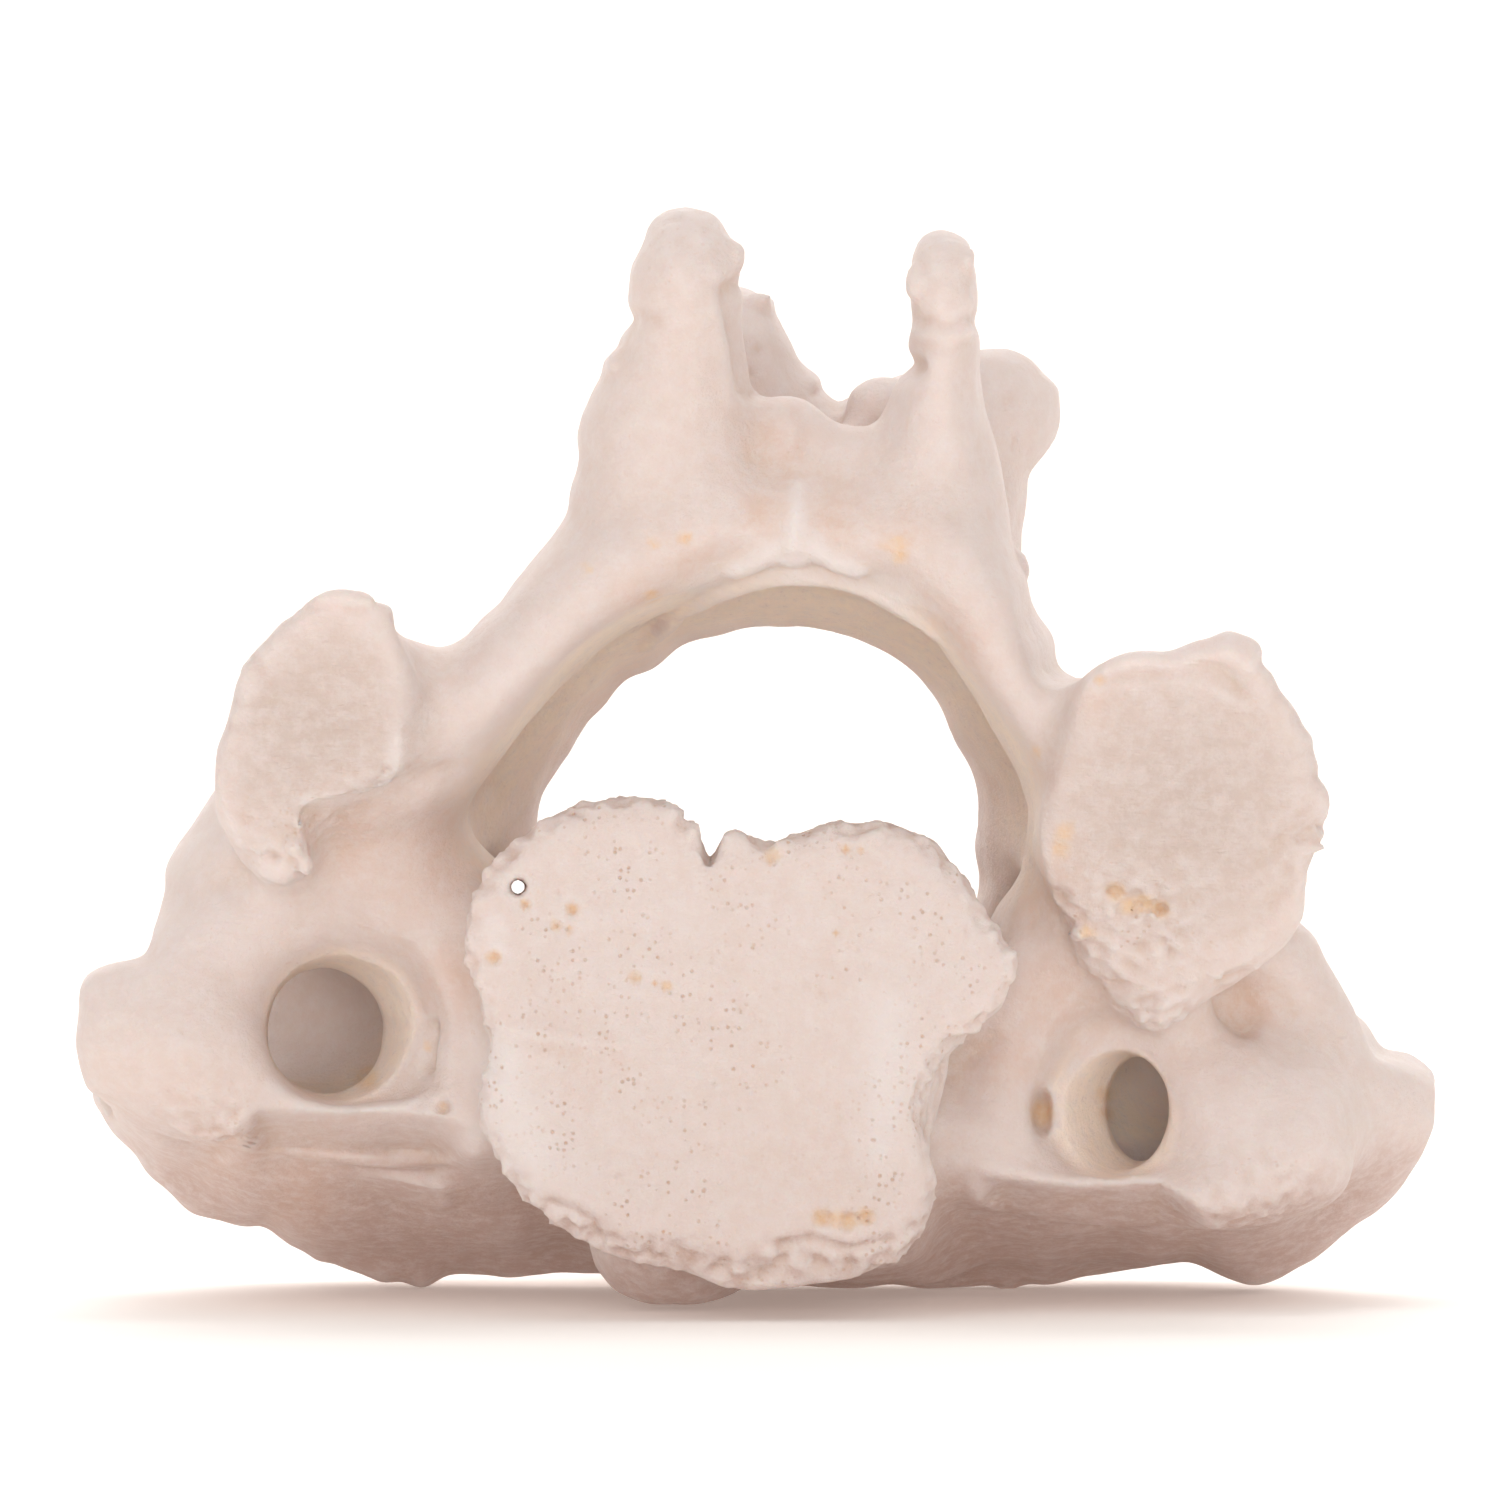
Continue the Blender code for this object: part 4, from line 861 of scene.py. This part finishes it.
def paint(skin):
    """Keeps how hollow, how deep inside and how worn each point is, for the real stains and the painted
    light and shade of the finish.
    """
    clay = Clay(skin)
    mesh = skin.data
    x, y, z = clay.places.T
    # Painted shade in the small hollows, which lie below their smoothed neighbours; the raised crests
    # above them are tinted lighter.
    calm = neighbour_mean(clay.places.astype(float), edges_of(mesh), len(clay.places), 8)
    height = ((clay.places - calm) * clay.normals).sum(1)
    keep_attribute(mesh, "hollow", -height / FULL_RELIEF)
    keep_attribute(mesh, "crest", height / FULL_RELIEF)
    # Painted light: the inner walls of the canal are tinted lighter and warmer than the bone outside.
    upper = rising(y, 0.8, 2.5) * rising(y, 20, -7) * rising(z, 15, 4)
    keep_attribute(mesh, "canal", bore_wall(clay, CANAL_LINE, 10.4) * upper)
    # Painted light: the walls of both artery bores are tinted lighter and warmer, their deep parts as
    # well.
    left = bore_wall(clay, LEFT_ARTERY_LINE, 2.8)
    right = bore_wall(clay, RIGHT_ARTERY_LINE, 2.5)
    walls = np.maximum(left, right) * rising(y, 22, -4)
    keep_attribute(mesh, "artery", walls * rising(y, 6.0, 1.5))
    keep_attribute(mesh, "deep", walls * rising(y, 11.0, 1.5))
    # The joint faces are tinted greyer: partly their own worn tone, partly painted shade where they face
    # a little down.
    left_face = closeness(clay.places, LEFT_FACE, 5.4)
    right_face = closeness(clay.places, RIGHT_FACE, 6.6)
    keep_attribute(mesh, "joint_face", np.maximum(left_face, right_face) * clay.facing * (y < 5))
    # Painted shade: undersides that face down, low on the bone, are tinted darker.
    down = rising(-clay.normals[:, 2], 0.1, 0.625)
    keep_attribute(mesh, "under", down * rising(z, 9.0, -5.0))
    keep_attribute(mesh, "ochre", tint_along(clay, OCHRE_SPOTS, 4, (-6, 22)))
    # Painted warm shade in the listed recesses and dents.
    keep_attribute(mesh, "painted_warm_shade", tint_along(clay, PAINTED_WARM_SHADE_SPOTS, 2, (-6, 22)))
    # Listed raised rims and ridges, tinted lighter.
    keep_attribute(mesh, "lighter_rims", tint_along(clay, LIGHTER_RIM_LINES, 2, (-6, 12)))
    plate = (np.abs(y) < 0.9) * clay.facing * (np.hypot(x + 1.3, z - 11.4) < 14)
    keep_attribute(mesh, "porous", np.maximum(plate, worn_weight(clay) * 0.6))


OCHRE_SPOTS = PLATE_PITS[:11] + [
    ((2.6, 4), 0.35), ((3.2, 3.95), 0.35), ((3.75, 3.85), 0.35), ((4.35, 4.05), 0.35),
    ((0.65, 18.4), 0.32), ((14.3, 16.95), 0.4), ((14.8, 16.4), 0.35), ((15.4, 16.5), 0.4),
    ((16.05, 16.25), 0.38), ((12.25, 19.3), 0.35), ((12.1, 18.75), 0.3), ((13.1, 15.35), 0.25),
    ((-2.8, 31), 0.26), ((-4.1, 30.9), 0.24), ((-4.15, 28.7), 0.28), ((-6.7, 29.75), 0.2),
    ((5.7, 30.25), 0.3),
    ((5.6, 30.75), 0.35), ((11.2, 22.5), 0.2), ((-13.05, 10.8), 0.18), ((-12.45, 8.4), 0.2),
    ((11.35, 8.15), 0.5),
    ((-15.45, 9.55), 0.5), ((13.85, 8.9), 0.3), ((13.9, 8.1), 0.3), ((13.65, 25.35), 0.2),
]
# Spots of painted warm shade in the recesses and dents, each with its width.
PAINTED_WARM_SHADE_SPOTS = [
    ((0.25, 32.05), 1.0), ((0.75, 34.5), 1.4), ((3.1, 31.75), 1.1), ((-2.6, 30.15), 1.2),
    ((5.9, 31.35), 0.9),
    ((-6.2, 24.95), 1.6), ((-4.6, 28.55), 1.0), ((-16.15, 19.4), 1.6), ((-12.55, 18.2), 2.2),
    ((-12.15, 13.45), 1.4),
    ((11.3, 17.4), 1.6), ((11.7, 12.65), 1.6), ((19.45, 12.5), 1.2), ((10.1, 10.25), 1.4),
    ((8.3, 26.55), 1.6), ((10.5, 21.4), 1.4), ((-18.1, 5.1), 1.6), ((-20.9, 6.3), 1.4),
    ((13.25, 24.6), 0.6),
]
# Raised rims and ridges that are tinted lighter, each a path of spots and its width.
LIGHTER_RIM_LINES = [
    ([(1.7, 33.2), (1.65, 31.95)], 0.16),
    ([(1.65, 32.3), (1.55, 31.15)], 0.3),
    ([(1.5, 31.75), (1.1, 30.95), (0.5, 30.45)], 0.4),
    ([(1.65, 31.75), (2.05, 30.95), (2.8, 30.45)], 0.4),
    ([(1.55, 30.95), (1.45, 29.9)], 0.8),
    ([(-2.25, 28.95), (-0.45, 29.9), (1.55, 30.45), (3.75, 29.8), (5.7, 28.55)], 0.7),
    ([(-14.15, 21.7), (-14.3, 23), (-14.75, 21.2), (-16.55, 20.7), (-18, 20.5)], 0.3),
    ([(-19.3, 9.3), (-18.1, 8.55), (-16.55, 8.3), (-14.15, 8.45), (-12.95, 8.75)], 0.25),
    ([(-10.5, 15.65), (-10.15, 14.7)], 0.35),
    ([(-10.15, 10.25), (-9.6, 8.3), (-8.8, 6.3)], 1.1),
    ([(5.3, 12.25), (5.15, 9.5), (4.95, 6.7)], 0.9),
]


# What paint keeps, the tint that it brings and how strong it is at most. Ochre is a real stain. The rest
# are mostly painted light and shade: painted shade on the undersides, in the small hollows and in warm
# spots in the recesses; painted light on the walls of the canal and the artery bores, lighter than the
# bone outside; the joint faces greyer, partly their own tone and partly painted shade. Raised crests and
# the listed rims are tinted lighter.
STAINS_AND_PAINTED_LIGHT = [
    ("joint_face", "#d0bdb3", 0.8), ("under", "#c4a69b", 0.85), ("painted_warm_shade", "#e0bda9", 0.5),
    ("canal", "#ffeddb", 1.0), ("artery", "#ffecdd", 1.0), ("deep", "#ffe9d3", 1.0),
    ("crest", "#e9deda", 0.5), ("lighter_rims", "#eee6e3", 0.6), ("hollow", "#d9bba0", 0.3),
    ("ochre", "#efc794", 0.65),
]


def mixed(tree, colour, tint, share):
    """The colour, mixed toward a tint by a share."""
    sockets = {"Factor": share, 6: colour, 7: linear(tint)}
    return add_node(tree, "ShaderNodeMix", {"data_type": "RGBA"}, sockets).outputs[2]


def product(tree, value, *factors):
    for factor in factors:
        sockets = {0: value, 1: factor}
        value = add_node(tree, "ShaderNodeMath", {"operation": "MULTIPLY"}, sockets).outputs["Value"]
    return value


def kept(tree, attribute):
    """What paint kept under this name."""
    return add_node(tree, "ShaderNodeAttribute", {"attribute_name": attribute}).outputs["Fac"]


def noise(tree, place, scale, detail=2.0, roughness=0.5):
    sockets = {"Vector": place, "Scale": scale, "Detail": detail, "Roughness": roughness}
    return add_node(tree, "ShaderNodeTexNoise", inputs=sockets).outputs["Fac"]


def ranged(tree, value, low, high, at_low=0.0, at_high=1.0):
    """A value stretched so that low gives at_low and high gives at_high, and held between them."""
    sockets = {"Value": value, "From Min": low, "From Max": high, "To Min": at_low, "To Max": at_high}
    return add_node(tree, "ShaderNodeMapRange", inputs=sockets).outputs["Result"]


def bumped(tree, height, strength, depth, others):
    """The surface raised by a height over a depth in metres; others adds the node's other inputs."""
    sockets = {"Height": height, "Strength": strength, "Distance": depth, **others}
    return add_node(tree, "ShaderNodeBump", inputs=sockets)


def pinholes(tree, in_mm):
    """Pores about 0.3 mm apart, some of them open, in patches on the porous parts."""
    sockets = {"Vector": in_mm, "Scale": 3.6, "Randomness": 1.0}
    cells = add_node(tree, "ShaderNodeTexVoronoi", inputs=sockets)
    dot = ranged(tree, cells.outputs["Distance"], 0.12, 0.34, 1.0, 0.0)
    kind = add_node(tree, "ShaderNodeSeparateColor", inputs={"Color": cells.outputs["Color"]})
    sockets = {0: kind.outputs["Red"], 1: 0.5}
    some = add_node(tree, "ShaderNodeMath", {"operation": "GREATER_THAN"}, sockets).outputs["Value"]
    patch = ranged(tree, noise(tree, in_mm, 0.35), 0.42, 0.62)
    return product(tree, dot, some, patch, kept(tree, "porous"))


def bleached_bone():
    """Macerated and bleached bone: chalky pinkish cream, with a soft dull surface, and painted light and
    shade mixed into its colour.
    """
    material, tree = new_material("bleached_bone")
    place = add_node(tree, "ShaderNodeTexCoord").outputs["Object"]
    # A thousand millimetres to the metre, so that every scale below is per millimetre.
    sockets = {"Vector": place, "Scale": (1000, 1000, 1000)}
    in_mm = add_node(tree, "ShaderNodeMapping", inputs=sockets).outputs["Vector"]
    colour = mixed(tree, linear("#e8dcd8"), "#e0c9bd", noise(tree, in_mm, 0.16, 5.0, 0.6))
    # Mixes in what paint kept: a real ochre stain, and painted light and shade on the undersides, in the
    # hollows, recesses and bores.
    for attribute, tint, amount in STAINS_AND_PAINTED_LIGHT:
        colour = mixed(tree, colour, tint, product(tree, kept(tree, attribute), amount))
    pores = pinholes(tree, in_mm)
    # The open pores are tinted tan: partly a real stain in them, partly painted shade inside pores too
    # small to be carved.
    colour = mixed(tree, colour, "#cfa585", product(tree, pores, 0.75))
    cloud = noise(tree, in_mm, 1.4, 9.0, 0.8)
    colour = mixed(tree, colour, "#ebe2df", ranged(tree, cloud, 0.44, 0.64, 0.0, 0.5))
    speck = noise(tree, in_mm, 2.8, 4.0, 0.8)
    colour = mixed(tree, colour, "#dab8a4", ranged(tree, speck, 0.6, 0.72, 0.0, 0.4))
    grain = bumped(tree, noise(tree, in_mm, 2.2, 7.0, 0.7), 0.8, 0.2 * MM, {}).outputs["Normal"]
    holes = bumped(tree, pores, 0.6, 0.1 * MM, {"Normal": grain})
    holes.invert = True
    # Long across the joint faces, short along them: the hairlines of worn cartilage bone.
    stretch = {"Vector": in_mm, "Rotation": (0, math.radians(-18), 0), "Scale": (0.7, 3.2, 4.5)}
    hairline_place = add_node(tree, "ShaderNodeMapping", inputs=stretch).outputs["Vector"]
    hairlines = product(tree, noise(tree, hairline_place, 1.0, 4.0, 0.7), kept(tree, "joint_face"))
    relief = bumped(tree, hairlines, 0.6, 0.25 * MM, {"Normal": holes.outputs["Normal"]})
    shader = add_node(
        tree,
        "ShaderNodeBsdfPrincipled",
        inputs={
            "Base Color": colour,
            "Roughness": 0.58,
            "IOR": 1.55,
            "Specular IOR Level": 0.35,
            "Subsurface Weight": 0.35,
            "Subsurface Radius": (1.0, 0.55, 0.35),
            "Subsurface Scale": 1.0 * MM,
            "Normal": relief.outputs["Normal"],
        },
    ).outputs["BSDF"]
    add_node(tree, "ShaderNodeOutputMaterial", inputs={"Surface": shader})
    return material


def pale_ground():
    """Matt white studio paper."""
    material, tree = new_material("white_paper")
    shader = add_node(
        tree,
        "ShaderNodeBsdfPrincipled",
        inputs={
            "Base Color": linear("#fbfaf8"),
            "Roughness": 0.9,
            "Specular IOR Level": 0.1,
            "Emission Color": linear("#ffeee4"),
            "Emission Strength": 0.17,
        },
    ).outputs["BSDF"]
    add_node(tree, "ShaderNodeOutputMaterial", inputs={"Surface": shader})
    return material


def studio_sweep():
    """The floor and a backdrop that curves up behind it."""
    bpy.ops.mesh.primitive_plane_add(size=1.0, location=(0, 0, 0))
    sweep = bpy.context.active_object
    sweep.name = "studio_sweep"
    bpy.ops.object.mode_set(mode="EDIT")
    bpy.ops.transform.resize(value=(6.0, 3.0, 1.0))
    bpy.ops.object.mode_set(mode="OBJECT")
    for edge in sweep.data.edges:
        ends = [sweep.data.vertices[i].co.y for i in edge.vertices]
        edge.select = min(ends) > 1.0
    for corner in sweep.data.vertices:
        corner.select = corner.co.y > 1.0
    for face in sweep.data.polygons:
        face.select = False
    bpy.ops.object.mode_set(mode="EDIT")
    bpy.ops.mesh.extrude_region_move(TRANSFORM_OT_translate={"value": (0, 0, 2.5)})
    bpy.ops.object.mode_set(mode="OBJECT")
    finish_with(sweep, "BEVEL", width=0.9, segments=16, limit_method="ANGLE")
    choose(sweep)
    bpy.ops.object.shade_smooth()
    sweep.data.materials.append(pale_ground())


# Each lamp's name, its place and aim in metres, its width in metres and its power in watts.
LAMPS = [
    ("key", (-0.25, -0.7, 0.4), (0, 0, 0.02), 0.3, 0.45),
    ("front", (0.03, -1.0, 0.04), (0, 0, 0.02), 0.3, 2.9),
    ("back", (0.0, 0.35, 0.08), (0, 0, 0.02), 0.45, 0.8),
    ("backdrop", (0.0, 0.6, 1.6), (0, 1.5, 0.2), 1.2, 10.0),
]


def soft_light(name, place, aim, width, power):
    """A round soft lamp that the camera doesn't see."""
    bpy.ops.object.light_add(type="AREA", location=place)
    lamp = bpy.context.active_object
    lamp.name = name
    lamp.data.shape = "DISK"
    lamp.data.size = width
    lamp.data.energy = power
    lamp.visible_camera = False
    lamp.rotation_euler = (Vector(aim) - Vector(place)).to_track_quat("-Z", "Y").to_euler()


def studio():
    """The white sweep, its soft lamps and the even light of the room."""
    studio_sweep()
    for lamp in LAMPS:
        soft_light(*lamp)
    world = bpy.data.worlds.new("studio_air")
    world.use_nodes = True
    air = world.node_tree.nodes["Background"]
    air.inputs["Color"].default_value = linear("#fffcfa")
    air.inputs["Strength"].default_value = 0.69
    bpy.context.scene.world = world
    bpy.context.scene.view_settings.view_transform = "Standard"


def camera():
    """The viewpoint of the photograph: level with the bone, looking along its long canal."""
    bpy.ops.object.camera_add(
        location=at(0, -VIEW_DISTANCE, VIEW_HEIGHT), rotation=(math.pi / 2, 0, 0)
    )
    eye = bpy.context.active_object
    eye.name = "camera"
    eye.data.sensor_width = FILM_WIDTH
    eye.data.lens = LENS
    eye.data.clip_start = 0.01
    eye.data.clip_end = 20.0
    bpy.context.scene.camera = eye


def thinned(skin):
    """Fewer triangles where the surface is calm."""
    triangles = sum(len(face.vertices) - 2 for face in skin.data.polygons)
    finish_with(skin, "DECIMATE", ratio=MOST_TRIANGLES / triangles)


def vertebrae():
    """The whole dry bone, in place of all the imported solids."""
    bone = joined_skin()
    added = left_face_lips(bone) + right_face_lips(bone) + plate_lips(bone)
    added += bar_ridges(bone) + spine_lumps(bone)
    bone = joined([bone] + added)
    finish_with(bone, "REMESH", mode="VOXEL", voxel_size=FINE_VOXEL, adaptivity=0.0)
    carve(bone, artery_bores())
    carve(bone, hole_cutters(bone))
    bone = joined([bone] + cave_specks(bone))
    finish_with(bone, "REMESH", mode="VOXEL", voxel_size=FINE_VOXEL, adaptivity=0.0)
    finish_with(bone, "SMOOTH", factor=0.5, iterations=2)
    worked_by_hand(bone)
    paint(bone)
    thinned(bone)
    bone.data.materials.clear()
    bone.data.materials.append(bleached_bone())
    choose(bone)
    bpy.ops.object.shade_smooth()
    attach(bone, "root")
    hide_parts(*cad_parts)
    return bone


bpy.ops.object.select_all(action="DESELECT")
vertebrae()
studio()
camera()
